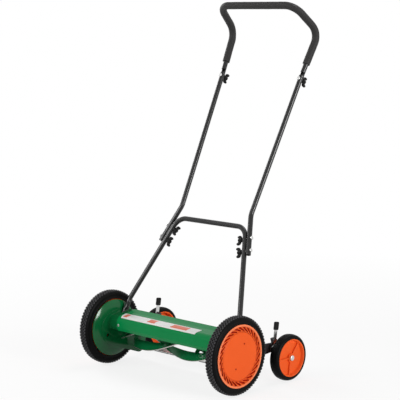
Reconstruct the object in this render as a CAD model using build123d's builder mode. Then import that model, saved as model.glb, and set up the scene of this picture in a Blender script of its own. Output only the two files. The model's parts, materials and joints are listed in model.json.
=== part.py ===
"""Push reel mower: driven front wheels, helical reel, bed knife, rear height wheels and a three-part handle.

Millimetres. +X is the operator's left, -Y is forward, +Z is up. The pieces are drawn with the front axle at
y = 0 and are placed at the end so that the origin lies under the middle of the whole mower.
"""
import os
from math import acos, atan, cos, pi, radians, sin, tan

from build123d import *

# Front wheels
wheel_dia = 254.0
wheel_track = 588.0
tyre_width = 35.6
tyre_bead_r = 101.0
tyre_shoulder = 9.0
tyre_crown = 2.5
rim_wall = 4.0
rim_relief = 1.0
rim_ring = 6.5
rim_face_proud = 1.0
web_thick = 4.0
web_inset = 8.0
axle_r = 6.35
hub_r = 15.0
hub_length = 22.0
cap_r = 77.0
cap_wall = 3.0
cap_inset = 0.5
cap_edge = 3.0
cap_edge_depth = 1.5
cap_skirt = 2.0
cap_gap = 1.0
cap_dimple_r = 3.0
cap_dimple_depth = 1.8
cap_dimple_at = 42.0
cap_dimple_turn = 62.0
louvre_count = 30
louvre_length = 29.0
louvre_width = 3.4
louvre_slant = 64.0
louvre_depth = 5.0
louvre_inset = 1.5
tread_groove = 2.2
tread_grooves = 5
clip_thick = 1.2
clip_r = 10.0
clip_groove = 1.0
axle_stub = 1.6
running_fit = 0.05

# Gears: internal ring in each wheel, pinion on each end of the reel shaft
gear_module = 2.5
ring_teeth = 66
pinion_teeth = 12
pressure_angle = 25.0
tooth_addendum = 0.8
tooth_dedendum = 1.1
gear_backlash = 0.5
gear_width = 11.0
gear_inset = 6.0
tooth_cut_lap = 0.5
tooth_root_lap = 0.2

# Reel
reel_r = 63.5
reel_drop = 10.9
reel_length = 488.0
blade_count = 5
blade_depth = 32.0
blade_thick = 3.0
blade_lead = 1035.0
blade_front_x = -186.0
blade_sections = 13
blade_grind = 0.2
shaft_r = 9.5
shaft_stub = 1.0
shaft_chamfer = 1.0
spider_count = 4
spider_end_inset = 14.0
spider_thick = 3.5
spider_hub_r = 17.0
spider_hub_length = 14.0
spider_disc = 6.0
spider_arm = 16.0
spider_reach = 7.0
bearing_r = 19.0
bearing_length = 14.0
bearing_flange_r = 23.0
bearing_flange = 2.0

# Side plates
dish_r = 96.0
dish_flat_r = 62.0
dish_depth = 7.0
dish_bulge_r = 82.0
dish_bulge = 2.0
dish_wall = 3.0
lobe_thick = 4.0
side_step = 1.0
cut_lap = 1.0
drain_hole_r = 6.0
drain_hole_y = -37.0
drain_hole_z = 108.0
axle_boss_r = 20.0
axle_boss = 8.0

# Deck and the collars it sits on
deck_sheet = 2.0
deck_half = 222.0
deck_lip_y = -27.0
deck_lip_z = 128.5
deck_front_y = -33.0
deck_bend_z = 140.0
deck_shoulder_z = 177.0
deck_crease_y = 24.0
deck_crease_z = 183.6
deck_rear_y = 51.0
deck_rear_z = 189.4
deck_shoulder_r = 24.0
deck_bend_r = 12.0
deck_crease_r = 30.0
deck_seat = 0.1
collar_wall = 3.0
collar_lap = 16.0
deck_screw_z = 149.0
deck_screw_r = 2.5
deck_screw_head_r = 4.6
deck_screw_head = 2.6
deck_screw_end = 2.0

# Bed knife and cutter bar
knife_angle = 15.0
knife_gap = 0.35
knife_thick = 3.0
knife_width = 40.0
knife_bevel = 2.0
knife_land = 1.0
bar_height = 14.0
bar_width = 26.0
bar_lead = 12.0
bar_web = 5.0
knife_screw_count = 5
knife_screw_r = 3.0
knife_screw_head_r = 5.0
knife_screw_head = 2.5
lobe_rim = 16.0

# Rear wheels and height adjusters
rear_dia = 152.4
rear_track = 600.0
rear_width = 34.5
rear_bead_r = 62.0
rear_rim_wall = 4.0
rear_web = 5.0
rear_rib_angles = (50.0, 180.0, 260.0)
rear_rib = 5.0
rear_rib_depth = 6.0
rear_rib_root = 1.0
rear_rib_lap = 3.0
rear_rim_flare = 4.0
rear_hub_r = 14.0
rear_hub_inset = 3.0
rear_dish = 9.0
rear_shoulder = 8.0
rear_crown = 1.6
wheelbase = 243.4
pivot_back = 203.0
pivot_z = 112.0
pivot_r = 5.0
arm_thick = 4.0
arm_end_r = 15.0
arm_spacer_r = 11.0
bracket_thick = 3.0
bracket_r = 32.0
bracket_foot_back = 132.0
bracket_foot_r = 20.0
bracket_notches = 5
bracket_notch_r = 1.8
bracket_span = 52.0
bracket_margin = 12.0
adjust_gap = 0.3
lever_lean = 9.3
lever_width = 13.0
lever_thick = 2.5
lever_foot = 12.0
lever_top_z = 186.0
tip_width = 19.0
tip_height = 27.0
tip_thick = 8.0
tip_lap = 18.0
bolt_head_r = 9.0
bolt_head = 6.0

# Handle
tube_dia = 17.0
tube_wall = 1.6
handle_lean = 27.35
swing_y = 28.2
swing_z = 160.0
tongue_x = 256.0
tongue_thick = 8.0
tongue_half = 12.0
tongue_length = 32.0
tongue_taper = 24.0
slot_lead = 4.0
slot_clear = 3.0
stud_r = 5.0
stud_gap = 0.3
stud_washer_r = 9.0
stud_washer = 2.0
stop_r = 4.0
stop_up = 25.0
leg_slope = 0.325
leg_foot = 66.0
cross_bar_at = 376.0
cross_bend_r = 50.0
mid_foot_at = 286.0
mid_bolts_at = (295.0, 336.0)
mid_bend_r = 60.0
leg_bend_r = 40.0
tube_gap = 0.2
mid_top_x = 179.0
mid_bend_at = 420.0
top_bolt_at = 908.0
lap_above = 12.7
lap_below = 17.0
lap_open = 12.6
lap_gap = 0.6
grip_foot_at = 962.6
knee_at = 1080.0
knee_x = 191.8
knee_bend_r = 42.0
loop_lean = 47.0
loop_rise = 134.0
loop_x = 169.2
loop_bend_r = 36.0
grip_dia = 25.0
grip_fit = 0.3
handle_bolt_r = 3.0
handle_head_r = 6.0
handle_head = 3.6
knob_stand = 1.0
knob_hub_r = 6.0
knob_length = 15.0
knob_wing = 15.0
knob_wing_thick = 4.5
knob_wing_low = 6.0
knob_wing_flare = 4.0
knob_wing_top = 22.0
knob_wing_tip = 6.0
knob_taper = 6.0

# Values that follow from the sizes above
axle_z = wheel_dia / 2
half_track = wheel_track / 2
tyre_in = half_track - tyre_width / 2
tyre_out = half_track + tyre_width / 2
rim_face = tyre_out + rim_face_proud
web_out = rim_face - web_inset
web_in = web_out - web_thick
dish_rim_x = tyre_in - side_step
dish_flat_x = dish_rim_x - dish_depth
plate_in = dish_flat_x - dish_wall - lobe_thick + side_step
ring_pitch_r = gear_module * ring_teeth / 2
pinion_pitch_r = gear_module * pinion_teeth / 2
gear_offset = ring_pitch_r - pinion_pitch_r
reel_y = gear_offset * cos(radians(reel_drop))
reel_z = axle_z - gear_offset * sin(radians(reel_drop))
gear_in = tyre_in + gear_inset
gear_out = gear_in + gear_width
shaft_half = gear_out + shaft_stub
tube_r = tube_dia / 2
grip_r = grip_dia / 2
knife_y = reel_y + (reel_r + knife_gap) * sin(radians(knife_angle))
knife_z = reel_z - (reel_r + knife_gap) * cos(radians(knife_angle))
bracket_in = dish_flat_x - dish_wall + side_step
arm_in = bracket_in + bracket_thick + adjust_gap
arm_out = arm_in + arm_thick
lever_in = arm_out
rear_half = rear_track / 2
rear_in = rear_half - rear_width / 2
rear_out = rear_half + rear_width / 2
rear_z = rear_dia / 2
rear_hub_face = rear_out - rear_hub_inset
tongue_in = tongue_x - tongue_thick / 2
slot_front_y = swing_y - tongue_half - slot_lead
stop_back = tongue_half + stop_r + stud_gap
lean = radians(handle_lean)
loop_bends = (knee_bend_r, loop_bend_r, loop_bend_r, knee_bend_r)
sides = (("left", 1), ("right", -1))
os.makedirs("parts", exist_ok=True)
finished = []


def keep(part, label):
    """Name a finished piece and hold it until all of them are placed."""
    part.label = label
    finished.append(part)


def slab(x_start, x_end):
    """Sketch plane in (y, z) at the lower of two x values, and the thickness between them."""
    return Plane.YZ.offset(min(x_start, x_end)), abs(x_end - x_start)


def across(y, z):
    """Plane through a line along X at (y, z): sketch x is X, sketch y is the radius."""
    return Plane(origin=(0, y, z), x_dir=(1, 0, 0), z_dir=(0, -1, 0))


def spin_axis(y, z):
    return Axis((0, y, z), (1, 0, 0))


def involute(angle):
    return tan(angle) - angle


def flank_angle(radius, pitch_r, half_width):
    """Half angle of a tooth, or of a ring's tooth space, at a radius."""
    base_r = pitch_r * cos(radians(pressure_angle))
    roll = acos(min(1.0, base_r / radius))
    return half_width / pitch_r + involute(radians(pressure_angle)) - involute(roll)


def polar(radius, angle):
    return (radius * cos(angle), radius * sin(angle))


def tooth_outline(r_low, r_high, pitch_r, half_width):
    """Closed outline of one involute tooth form between two radii, centred on the local X axis."""
    r_start = max(r_low, pitch_r * cos(radians(pressure_angle)))
    radii = (r_start, (r_start + r_high) / 2, r_high)
    upper = [polar(r, flank_angle(r, pitch_r, half_width)) for r in radii]
    lower = [(x, -y) for x, y in upper]
    foot = polar(r_low, flank_angle(r_start, pitch_r, half_width))
    if r_start > r_low:
        Line(foot, upper[0])
        Line(lower[0], (foot[0], -foot[1]))
    Line((foot[0], -foot[1]), foot)
    ThreePointArc(*upper)
    Line(upper[2], lower[2])
    ThreePointArc(lower[2], lower[1], lower[0])


def in_plane(x, along, out=0.0):
    """Point on the leaning handle plane: across, up along the lean from the swing axis, and out behind it."""
    y = swing_y + along * sin(lean) + out * cos(lean)
    z = swing_z + along * cos(lean) - out * sin(lean)
    return Vector(x, y, z)


def rounded_path(points, radii):
    """Straight runs joined by tangent arcs, one radius for each inner point, in the open line builder."""
    start = points[0]
    for before, corner, after, radius in zip(points, points[1:], points[2:], radii):
        to_before = (before - corner).normalized()
        to_after = (after - corner).normalized()
        half = radians(to_before.get_angle(to_after)) / 2
        run = radius / tan(half)
        middle = corner + (to_before + to_after).normalized() * (radius / sin(half) - radius)
        Line(start, corner + to_before * run)
        ThreePointArc(corner + to_before * run, middle, corner + to_after * run)
        start = corner + to_after * run
    Line(start, points[-1])


def leg_x(along):
    """Centre line of the lower handle's leg, across the handle plane."""
    return tongue_x - leg_slope * (along - leg_foot)


def leg_frame(s, along, offset=0.0):
    """Plane on the leg's centre line, looking outwards along the bolts, x axis up the leg."""
    tilt = atan(leg_slope)
    up = in_plane(-s * sin(tilt), cos(tilt)) - in_plane(0, 0)
    outward = in_plane(s * cos(tilt), sin(tilt)) - in_plane(0, 0)
    centre = in_plane(s * leg_x(along), along) + outward * offset
    return Plane(origin=centre, x_dir=up, z_dir=outward)


def mid_x(along):
    """Centre line of the middle tube where it lies along the outside of the leg."""
    tilt = atan(leg_slope)
    return leg_x(along - (tube_dia + tube_gap) * sin(tilt)) + (tube_dia + tube_gap) * cos(tilt)


def lap_frame(s):
    """Plane on the top joint's bolt, looking to the rear, x axis up the tube."""
    slope = (mid_top_x - mid_x(mid_bend_at)) / (top_bolt_at - mid_bend_at)
    up = in_plane(s * slope, 1) - in_plane(0, 0)
    back = in_plane(0, 0, 1) - in_plane(0, 0)
    return Plane(origin=in_plane(s * mid_top_x, top_bolt_at), x_dir=up, z_dir=back)


def tube_section(path, r_out, r_in):
    """Ring across the start of a path."""
    with BuildSketch(Plane(origin=path @ 0, z_dir=path % 0), mode=Mode.PRIVATE) as ring:
        Circle(r_out)
        Circle(r_in, mode=Mode.SUBTRACT)
    return ring.sketch


def deck_line(inset):
    """The deck's profile, moved inwards by a distance, as an open wire in (y, z)."""
    points = [
        (deck_lip_y, deck_lip_z),
        (deck_front_y, deck_bend_z),
        (deck_front_y, deck_shoulder_z),
        (deck_crease_y, deck_crease_z),
        (deck_rear_y, deck_rear_z),
    ]
    with BuildLine(mode=Mode.PRIVATE) as profile:
        FilletPolyline(*points, radius=[deck_bend_r, deck_shoulder_r, deck_crease_r])
    if inset == 0:
        return profile.wires()[0]
    inner = offset(profile.wires()[0], amount=inset, side=Side.RIGHT, closed=False, mode=Mode.PRIVATE)
    return inner.wires()[0]


def shell_face(inset_out, inset_in):
    """Band between two inward offsets of the deck's profile."""
    outer = deck_line(inset_out)
    inner = deck_line(inset_in)
    with BuildSketch(mode=Mode.PRIVATE) as band:
        with BuildLine():
            add(outer)
            add(inner)
            Line(outer @ 0, inner @ 0)
            Line(outer @ 1, inner @ 1)
        make_face()
    return band.sketch


def screw(plane, shank_r, shank, head_r, head):
    """Round-headed screw: the head stands on the plane and the shank goes down from it."""
    with BuildPart(mode=Mode.PRIVATE) as body:
        with BuildSketch(plane):
            Circle(head_r)
        extrude(amount=head)
        top = faces().sort_by(lambda f: (f.center() - plane.origin).dot(plane.z_dir))[-1]
        fillet(top.edges(), head * 0.4)
        with BuildSketch(plane):
            Circle(shank_r)
        extrude(amount=-shank)
    return body.part


# Front wheels
def front_tyre(s):
    shoulder_r = axle_z - tyre_shoulder
    crown_r = axle_z - tyre_crown
    crown_half = tyre_width / 2 - tyre_shoulder * 0.55
    with BuildPart() as tyre:
        with BuildSketch(across(0, axle_z)):
            with BuildLine():
                Polyline(
                    (s * tyre_in, shoulder_r),
                    (s * tyre_in, tyre_bead_r),
                    (s * tyre_out, tyre_bead_r),
                    (s * tyre_out, shoulder_r),
                )
                Spline(
                    (s * tyre_out, shoulder_r),
                    (s * (half_track + crown_half), crown_r),
                    (s * half_track, axle_z),
                    (s * (half_track - crown_half), crown_r),
                    (s * tyre_in, shoulder_r),
                )
            make_face()
        revolve(axis=spin_axis(0, axle_z))
        pitch = (tyre_width - 2 * tyre_shoulder) / (tread_grooves - 1)
        with BuildSketch(across(0, axle_z)):
            for k in range(tread_grooves):
                middle = tyre_in + tyre_shoulder + k * pitch
                with Locations((s * middle, axle_z)):
                    Rectangle(tread_groove, 2 * tread_groove)
        revolve(axis=spin_axis(0, axle_z), mode=Mode.SUBTRACT)
    return tyre.part


def front_wheel(s):
    ring_root_r = ring_pitch_r + tooth_dedendum * gear_module
    ring_tip_r = ring_pitch_r - tooth_addendum * gear_module
    half_space = (pi * gear_module + gear_backlash) / 4
    rim_in_r = tyre_bead_r - rim_wall
    ring_r = tyre_bead_r - rim_ring
    louvre_face = rim_face - louvre_inset
    bore_r = axle_r + running_fit
    hub_in = web_out - hub_length
    with BuildPart() as wheel:
        with BuildSketch(across(0, axle_z)):
            with BuildLine():
                Polyline(
                    (s * tyre_in, tyre_bead_r),
                    (s * rim_face, tyre_bead_r),
                    (s * rim_face, ring_r),
                    (s * louvre_face, ring_r),
                    (s * louvre_face, cap_r + cap_gap),
                    (s * web_out, cap_r + cap_gap),
                    (s * web_out, bore_r),
                    (s * hub_in, bore_r),
                    (s * hub_in, hub_r),
                    (s * web_in, hub_r),
                    (s * web_in, ring_root_r + rim_wall),
                    (s * gear_out, ring_root_r + rim_wall),
                    (s * gear_out, ring_tip_r),
                    (s * gear_in, ring_tip_r),
                    (s * gear_in, rim_in_r + rim_relief),
                    (s * tyre_in, rim_in_r + rim_relief),
                    close=True,
                )
            make_face()
        revolve(axis=spin_axis(0, axle_z))
        plane, width = slab(s * gear_in, s * gear_out)
        with BuildSketch(plane):
            with Locations((0, axle_z)):
                with PolarLocations(0, ring_teeth, start_angle=-reel_drop):
                    with BuildSketch(mode=Mode.PRIVATE) as space:
                        with BuildLine():
                            tooth_outline(ring_tip_r - tooth_cut_lap, ring_root_r, ring_pitch_r, half_space)
                        make_face()
                    add(space.sketch)
        extrude(amount=width, mode=Mode.SUBTRACT)
        plane, width = slab(s * louvre_face, s * (louvre_face - louvre_depth))
        with BuildSketch(plane):
            with Locations((0, axle_z)):
                with PolarLocations((cap_r + cap_gap + ring_r) / 2, louvre_count):
                    Rectangle(louvre_length, louvre_width, rotation=louvre_slant)
        extrude(amount=width, mode=Mode.SUBTRACT)
    return wheel.part


def wheel_cap(s):
    face = rim_face - cap_inset
    back = face - cap_wall
    skirt_r = cap_r - cap_wall - cap_skirt
    with BuildPart() as cap:
        with BuildSketch(across(0, axle_z)):
            with BuildLine():
                Polyline(
                    (s * web_out, cap_r),
                    (s * (face - cap_edge_depth), cap_r),
                    (s * face, cap_r - cap_edge),
                    (s * face, 0),
                    (s * back, 0),
                    (s * back, skirt_r),
                    (s * web_out, skirt_r),
                    close=True,
                )
            make_face()
        revolve(axis=spin_axis(0, axle_z))
        plane, width = slab(s * face, s * (face - cap_dimple_depth))
        with BuildSketch(plane):
            with Locations((0, axle_z)):
                with PolarLocations(cap_dimple_at, 2, start_angle=cap_dimple_turn):
                    Circle(cap_dimple_r)
        extrude(amount=width, mode=Mode.SUBTRACT)
    return cap.part


def front_axle(s):
    end = web_out + clip_thick + axle_stub
    with BuildPart() as axle:
        plane, width = slab(s * (dish_flat_x - dish_wall), s * end)
        with BuildSketch(plane):
            with Locations((0, axle_z)):
                Circle(axle_r)
        extrude(amount=width)
        plane, width = slab(s * (web_out + running_fit), s * (web_out + running_fit + clip_thick))
        with BuildSketch(plane):
            with Locations((0, axle_z)):
                Circle(axle_r + clip_groove)
                Circle(axle_r - clip_groove, mode=Mode.SUBTRACT)
        extrude(amount=width, mode=Mode.SUBTRACT)
    return axle.part


def wheel_clip(s):
    start = web_out + running_fit
    plane, width = slab(s * start, s * (start + clip_thick))
    with BuildPart() as clip:
        with BuildSketch(plane):
            with Locations((0, axle_z)):
                Circle(clip_r)
                Circle(axle_r - clip_groove, mode=Mode.SUBTRACT)
                with Locations((0, -clip_r)):
                    Rectangle(axle_r, 2 * clip_r, mode=Mode.SUBTRACT)
        extrude(amount=width)
    return clip.part


# Reel and its drive
def pinion(s):
    half_tooth = (pi * gear_module - gear_backlash) / 4
    root_r = pinion_pitch_r - tooth_dedendum * gear_module
    tip_r = pinion_pitch_r + tooth_addendum * gear_module
    plane, width = slab(s * gear_in, s * gear_out)
    with BuildPart() as gear:
        with BuildSketch(plane):
            with Locations((reel_y, reel_z)):
                Circle(root_r + tooth_root_lap)
                with PolarLocations(0, pinion_teeth, start_angle=-reel_drop):
                    with BuildSketch(mode=Mode.PRIVATE) as tooth:
                        with BuildLine():
                            tooth_outline(root_r, tip_r, pinion_pitch_r, half_tooth)
                        make_face()
                    add(tooth.sketch)
                Circle(shaft_r + running_fit, mode=Mode.SUBTRACT)
        extrude(amount=width)
    return gear.part


def reel_shaft():
    with BuildPart() as shaft:
        with BuildSketch(Plane.YZ.offset(-shaft_half)):
            with Locations((reel_y, reel_z)):
                Circle(shaft_r)
        extrude(amount=2 * shaft_half)
        chamfer(edges().filter_by(GeomType.CIRCLE), shaft_chamfer)
    return shaft.part


def blade_angle(x, index):
    """Angle of a blade about the reel axis, in degrees from +Y, at a place along the reel."""
    return 180.0 - 360.0 * (x - blade_front_x) / blade_lead + 360.0 * index / blade_count


def reel_blades():
    with BuildPart() as blades:
        for index in range(blade_count):
            for k in range(blade_sections):
                x = -reel_length / 2 + reel_length * k / (blade_sections - 1)
                turn = radians(blade_angle(x, index))
                plane = Plane(origin=(x, reel_y, reel_z), x_dir=(0, cos(turn), sin(turn)), z_dir=(1, 0, 0))
                with BuildSketch(plane):
                    with Locations((reel_r - blade_grind, 0)):
                        Rectangle(blade_depth - blade_grind, blade_thick, align=(Align.MAX, Align.CENTER))
            loft()
    return blades.part


def reel_spiders(blades):
    last = reel_length / 2 - spider_end_inset
    with BuildPart() as spiders:
        for k in range(spider_count):
            x = -last + 2 * last * k / (spider_count - 1)
            reach = reel_r - blade_depth + spider_reach
            with BuildSketch(Plane.YZ.offset(x - spider_thick / 2)):
                with Locations((reel_y, reel_z)):
                    Circle(spider_hub_r + spider_disc)
                    for index in range(blade_count):
                        turn = blade_angle(x, index)
                        with Locations(polar(reach / 2, radians(turn))):
                            Rectangle(reach, spider_arm, rotation=turn)
                    Circle(shaft_r, mode=Mode.SUBTRACT)
            extrude(amount=spider_thick)
            with BuildSketch(Plane.YZ.offset(x - spider_hub_length / 2)):
                with Locations((reel_y, reel_z)):
                    Circle(spider_hub_r)
                    Circle(shaft_r, mode=Mode.SUBTRACT)
            extrude(amount=spider_hub_length)
        add(blades, mode=Mode.SUBTRACT)
    return spiders.part


def reel_bearing(s):
    start = plate_in - bearing_flange
    with BuildPart() as bearing:
        plane, width = slab(s * start, s * (start + bearing_length))
        with BuildSketch(plane):
            with Locations((reel_y, reel_z)):
                Circle(bearing_r)
                Circle(shaft_r + running_fit, mode=Mode.SUBTRACT)
        extrude(amount=width)
        plane, width = slab(s * start, s * plate_in)
        with BuildSketch(plane):
            with Locations((reel_y, reel_z)):
                Circle(bearing_flange_r)
                Circle(shaft_r + running_fit, mode=Mode.SUBTRACT)
        extrude(amount=width)
    return bearing.part


# Frame: side plates, deck, cutter bar
def lobe_outline():
    """Hull that ties the axle, the reel bearing, the cutter bar and the rear bracket's foot together."""
    with BuildSketch(mode=Mode.PRIVATE) as lobe:
        with Locations((0, axle_z)):
            Circle(dish_flat_r)
        with Locations((reel_y, reel_z)):
            Circle(bearing_flange_r + lobe_rim / 2)
        with Locations((knife_y + bar_lead + bar_width / 2, knife_z - bar_height / 2)):
            Circle(lobe_rim + bar_width / 4)
        with Locations((bracket_foot_back, pivot_z)):
            Circle(bracket_foot_r)
        make_hull()
    return lobe.sketch


def side_plate(s):
    dish_flat_in = dish_flat_x - dish_wall
    outer = [
        (s * dish_flat_x, dish_flat_r),
        (s * (dish_flat_x + dish_bulge), dish_bulge_r),
        (s * dish_rim_x, dish_r),
    ]
    inner = [(x - s * dish_wall, r) for x, r in outer]
    with BuildPart() as plate:
        with BuildSketch(across(0, axle_z)):
            with BuildLine():
                Polyline(outer[0], (s * dish_flat_x, 0), (s * dish_flat_in, 0), inner[0])
                ThreePointArc(*inner)
                Line(inner[2], outer[2])
                ThreePointArc(*outer)
            make_face()
        revolve(axis=spin_axis(0, axle_z))
        plane, width = slab(s * plate_in, s * bracket_in)
        with BuildSketch(plane):
            add(lobe_outline())
        extrude(amount=width)
        plane, width = slab(s * dish_flat_x, s * (dish_flat_x + axle_boss))
        with BuildSketch(plane):
            with Locations((0, axle_z)):
                Circle(axle_boss_r)
        extrude(amount=width)
        plane, width = slab(s * (deck_half - collar_lap), s * (dish_flat_in + side_step))
        with BuildSketch(plane):
            add(shell_face(deck_sheet + deck_seat, deck_sheet + deck_seat + collar_wall))
        extrude(amount=width)
        plane, width = slab(s * (tongue_x - tube_r - slot_clear), s * plate_in)
        with BuildSketch(plane):
            with Locations((slot_front_y, deck_rear_z)):
                Rectangle(3 * tube_dia, 2 * tube_dia, align=(Align.MIN, Align.CENTER))
        extrude(amount=width, mode=Mode.SUBTRACT)
        stop = in_plane(0, stop_up, stop_back)
        plane, width = slab(s * tongue_in, s * dish_flat_x)
        with BuildSketch(plane):
            with Locations((stop.Y, stop.Z)):
                Circle(stop_r)
        extrude(amount=width)
        plane, width = slab(s * (plate_in - cut_lap), s * (dish_rim_x + axle_boss))
        with BuildSketch(plane):
            with Locations((0, axle_z)):
                Circle(axle_r)
            with Locations((reel_y, reel_z)):
                Circle(bearing_r)
            with Locations((drain_hole_y, drain_hole_z)):
                Circle(drain_hole_r)
            with Locations((swing_y, swing_z)):
                Circle(stud_r)
        extrude(amount=width, mode=Mode.SUBTRACT)
        with BuildSketch(Plane.XZ.offset(-deck_front_y - cut_lap)):
            with Locations((s * (deck_half - collar_lap / 2), deck_screw_z)):
                Circle(deck_screw_r)
        extrude(amount=-4 * collar_wall, mode=Mode.SUBTRACT)
    return plate.part


def deck():
    with BuildPart() as sheet:
        with BuildSketch(Plane.YZ.offset(-deck_half)):
            add(shell_face(0, deck_sheet))
        extrude(amount=2 * deck_half)
        with BuildSketch(Plane.XZ.offset(-deck_front_y + cut_lap)):
            with Locations(*[(s * (deck_half - collar_lap / 2), deck_screw_z) for _, s in sides]):
                Circle(deck_screw_r)
        extrude(amount=-4 * deck_sheet, mode=Mode.SUBTRACT)
    return sheet.part


def deck_screws():
    with BuildPart() as screws:
        for _, s in sides:
            x = s * (deck_half - collar_lap / 2)
            spot = Plane(origin=(x, deck_front_y, deck_screw_z), z_dir=(0, -1, 0))
            shank = deck_sheet + deck_seat + collar_wall + deck_screw_end
            add(screw(spot, deck_screw_r, shank, deck_screw_head_r, deck_screw_head))
    return screws.part


def knife_screw_places():
    pitch = 2 * plate_in / knife_screw_count
    back = knife_y + bar_lead + bar_width / 3
    return [(-plate_in + pitch * (k + 0.5), back) for k in range(knife_screw_count)]


def bed_knife():
    with BuildPart() as knife:
        with BuildSketch(Plane.YZ.offset(-plate_in)):
            with BuildLine():
                Polyline(
                    (knife_y, knife_z),
                    (knife_y + knife_width, knife_z),
                    (knife_y + knife_width, knife_z - knife_thick),
                    (knife_y + knife_bevel, knife_z - knife_thick),
                    (knife_y, knife_z - knife_land),
                    close=True,
                )
            make_face()
        extrude(amount=2 * plate_in)
        with BuildSketch(Plane.XY.offset(knife_z)):
            with Locations(*knife_screw_places()):
                Circle(knife_screw_r)
        extrude(amount=-knife_thick, mode=Mode.SUBTRACT)
    return knife.part


def cutter_bar():
    top = knife_z - knife_thick
    front = knife_y + bar_lead
    back = front + bar_width
    with BuildPart() as bar:
        with BuildSketch(Plane.YZ.offset(-plate_in)):
            with BuildLine():
                Polyline(
                    (front, top),
                    (back, top),
                    (back, top - bar_height),
                    (back - bar_web, top - bar_height),
                    (back - bar_web, top - bar_web),
                    (front, top - bar_web),
                    close=True,
                )
            make_face()
        extrude(amount=2 * plate_in)
        with BuildSketch(Plane.XY.offset(top)):
            with Locations(*knife_screw_places()):
                Circle(knife_screw_r)
        extrude(amount=-bar_web, mode=Mode.SUBTRACT)
    return bar.part


def knife_screws():
    with BuildPart() as screws:
        for x, y in knife_screw_places():
            spot = Plane(origin=(x, y, knife_z - knife_thick - bar_web), z_dir=(0, 0, -1))
            add(screw(spot, knife_screw_r, knife_thick + bar_web, knife_screw_head_r, knife_screw_head))
    return screws.part


def handle_stud(s):
    """Shoulder stud the handle swings on, its head on the inner side of the leg's flat end."""
    face = tongue_in - stud_gap
    with BuildPart() as stud:
        spot = Plane(origin=(s * face, swing_y, swing_z), z_dir=(-s, 0, 0))
        add(screw(spot, stud_r, bracket_in - face, stud_washer_r, stud_washer))
    return stud.part


# Rear wheels and height adjusters
def rear_bracket(s):
    plane, width = slab(s * bracket_in, s * (bracket_in + bracket_thick))
    top = 90.0 - lever_lean
    with BuildPart() as bracket:
        with BuildSketch(plane):
            with BuildSketch(mode=Mode.PRIVATE) as arm:
                with Locations((bracket_foot_back, pivot_z)):
                    Circle(bracket_foot_r)
                with Locations((pivot_back, pivot_z)):
                    Circle(arm_end_r)
                make_hull()
            add(arm.sketch)
            with Locations((pivot_back, pivot_z)):
                with BuildSketch(mode=Mode.PRIVATE) as wedge:
                    with BuildLine():
                        start = polar(bracket_r, radians(top - bracket_span / 2))
                        middle = polar(bracket_r, radians(top))
                        end = polar(bracket_r, radians(top + bracket_span / 2))
                        Line((0, 0), start)
                        ThreePointArc(start, middle, end)
                        Line(end, (0, 0))
                    make_face()
                add(wedge.sketch)
                pitch = (bracket_span - bracket_margin) / (bracket_notches - 1)
                for k in range(bracket_notches):
                    turn = top + (k - (bracket_notches - 1) / 2) * pitch
                    with Locations(polar(bracket_r, radians(turn))):
                        Circle(bracket_notch_r, mode=Mode.SUBTRACT)
                Circle(pivot_r, mode=Mode.SUBTRACT)
        extrude(amount=width)
    return bracket.part


def lever_plane(s):
    """Plane on the lever's inner face at the pivot: x axis to the rear, y axis up the lever."""
    tilt = radians(lever_lean)
    foot = (s * lever_in, pivot_back, pivot_z)
    return Plane(origin=foot, x_dir=(0, s * cos(tilt), -s * sin(tilt)), z_dir=(s, 0, 0))


def adjuster_arm(s):
    tilt = radians(lever_lean)
    seat = lever_foot + lever_width
    plane, width = slab(s * arm_in, s * arm_out)
    with BuildPart() as arm:
        with BuildSketch(plane):
            with Locations((pivot_back, pivot_z)):
                Circle(arm_end_r)
            with Locations((wheelbase, rear_z)):
                Circle(arm_end_r)
            with Locations((pivot_back + seat * sin(tilt), pivot_z + seat * cos(tilt))):
                Circle(lever_width * 0.7)
            make_hull()
        extrude(amount=width)
        plane, width = slab(s * arm_out, s * (rear_in - adjust_gap))
        with BuildSketch(plane):
            with Locations((wheelbase, rear_z)):
                Circle(arm_spacer_r)
        extrude(amount=width)
        plane, width = slab(s * arm_in, s * rear_in)
        with BuildSketch(plane):
            with Locations((pivot_back, pivot_z)):
                Circle(pivot_r + running_fit)
            with Locations((wheelbase, rear_z)):
                Circle(axle_r)
        extrude(amount=width, mode=Mode.SUBTRACT)
    return arm.part


def pivot_bolt(s):
    face = arm_out + adjust_gap
    with BuildPart() as bolt:
        spot = Plane(origin=(s * face, pivot_back, pivot_z), z_dir=(s, 0, 0))
        add(screw(spot, pivot_r, face - plate_in, bolt_head_r, bolt_head / 2))
    return bolt.part


def lever_top():
    return (lever_top_z - pivot_z) / cos(radians(lever_lean))


def lever(s):
    with BuildPart() as strip:
        with BuildSketch(lever_plane(s)):
            with Locations((0, lever_foot)):
                Rectangle(lever_width, lever_top() - lever_foot, align=(Align.CENTER, Align.MIN))
            fillet(vertices(), lever_width * 0.3)
        extrude(amount=lever_thick)
    return strip.part


def lever_tip(s):
    with BuildPart() as tip:
        with BuildSketch(lever_plane(s).offset(lever_thick / 2 - tip_thick / 2)):
            with Locations((0, lever_top() - tip_lap)):
                Rectangle(tip_width, tip_height, align=(Align.CENTER, Align.MIN))
            fillet(vertices(), tip_width * 0.2)
        extrude(amount=tip_thick)
        fillet(edges().group_by(Axis.X)[0] + edges().group_by(Axis.X)[-1], tip_thick * 0.25)
        with BuildSketch(lever_plane(s)):
            with Locations((0, lever_foot)):
                Rectangle(lever_width, lever_top() - lever_foot, align=(Align.CENTER, Align.MIN))
            fillet(vertices(), lever_width * 0.3)
        extrude(amount=lever_thick, mode=Mode.SUBTRACT)
    return tip.part


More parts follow.
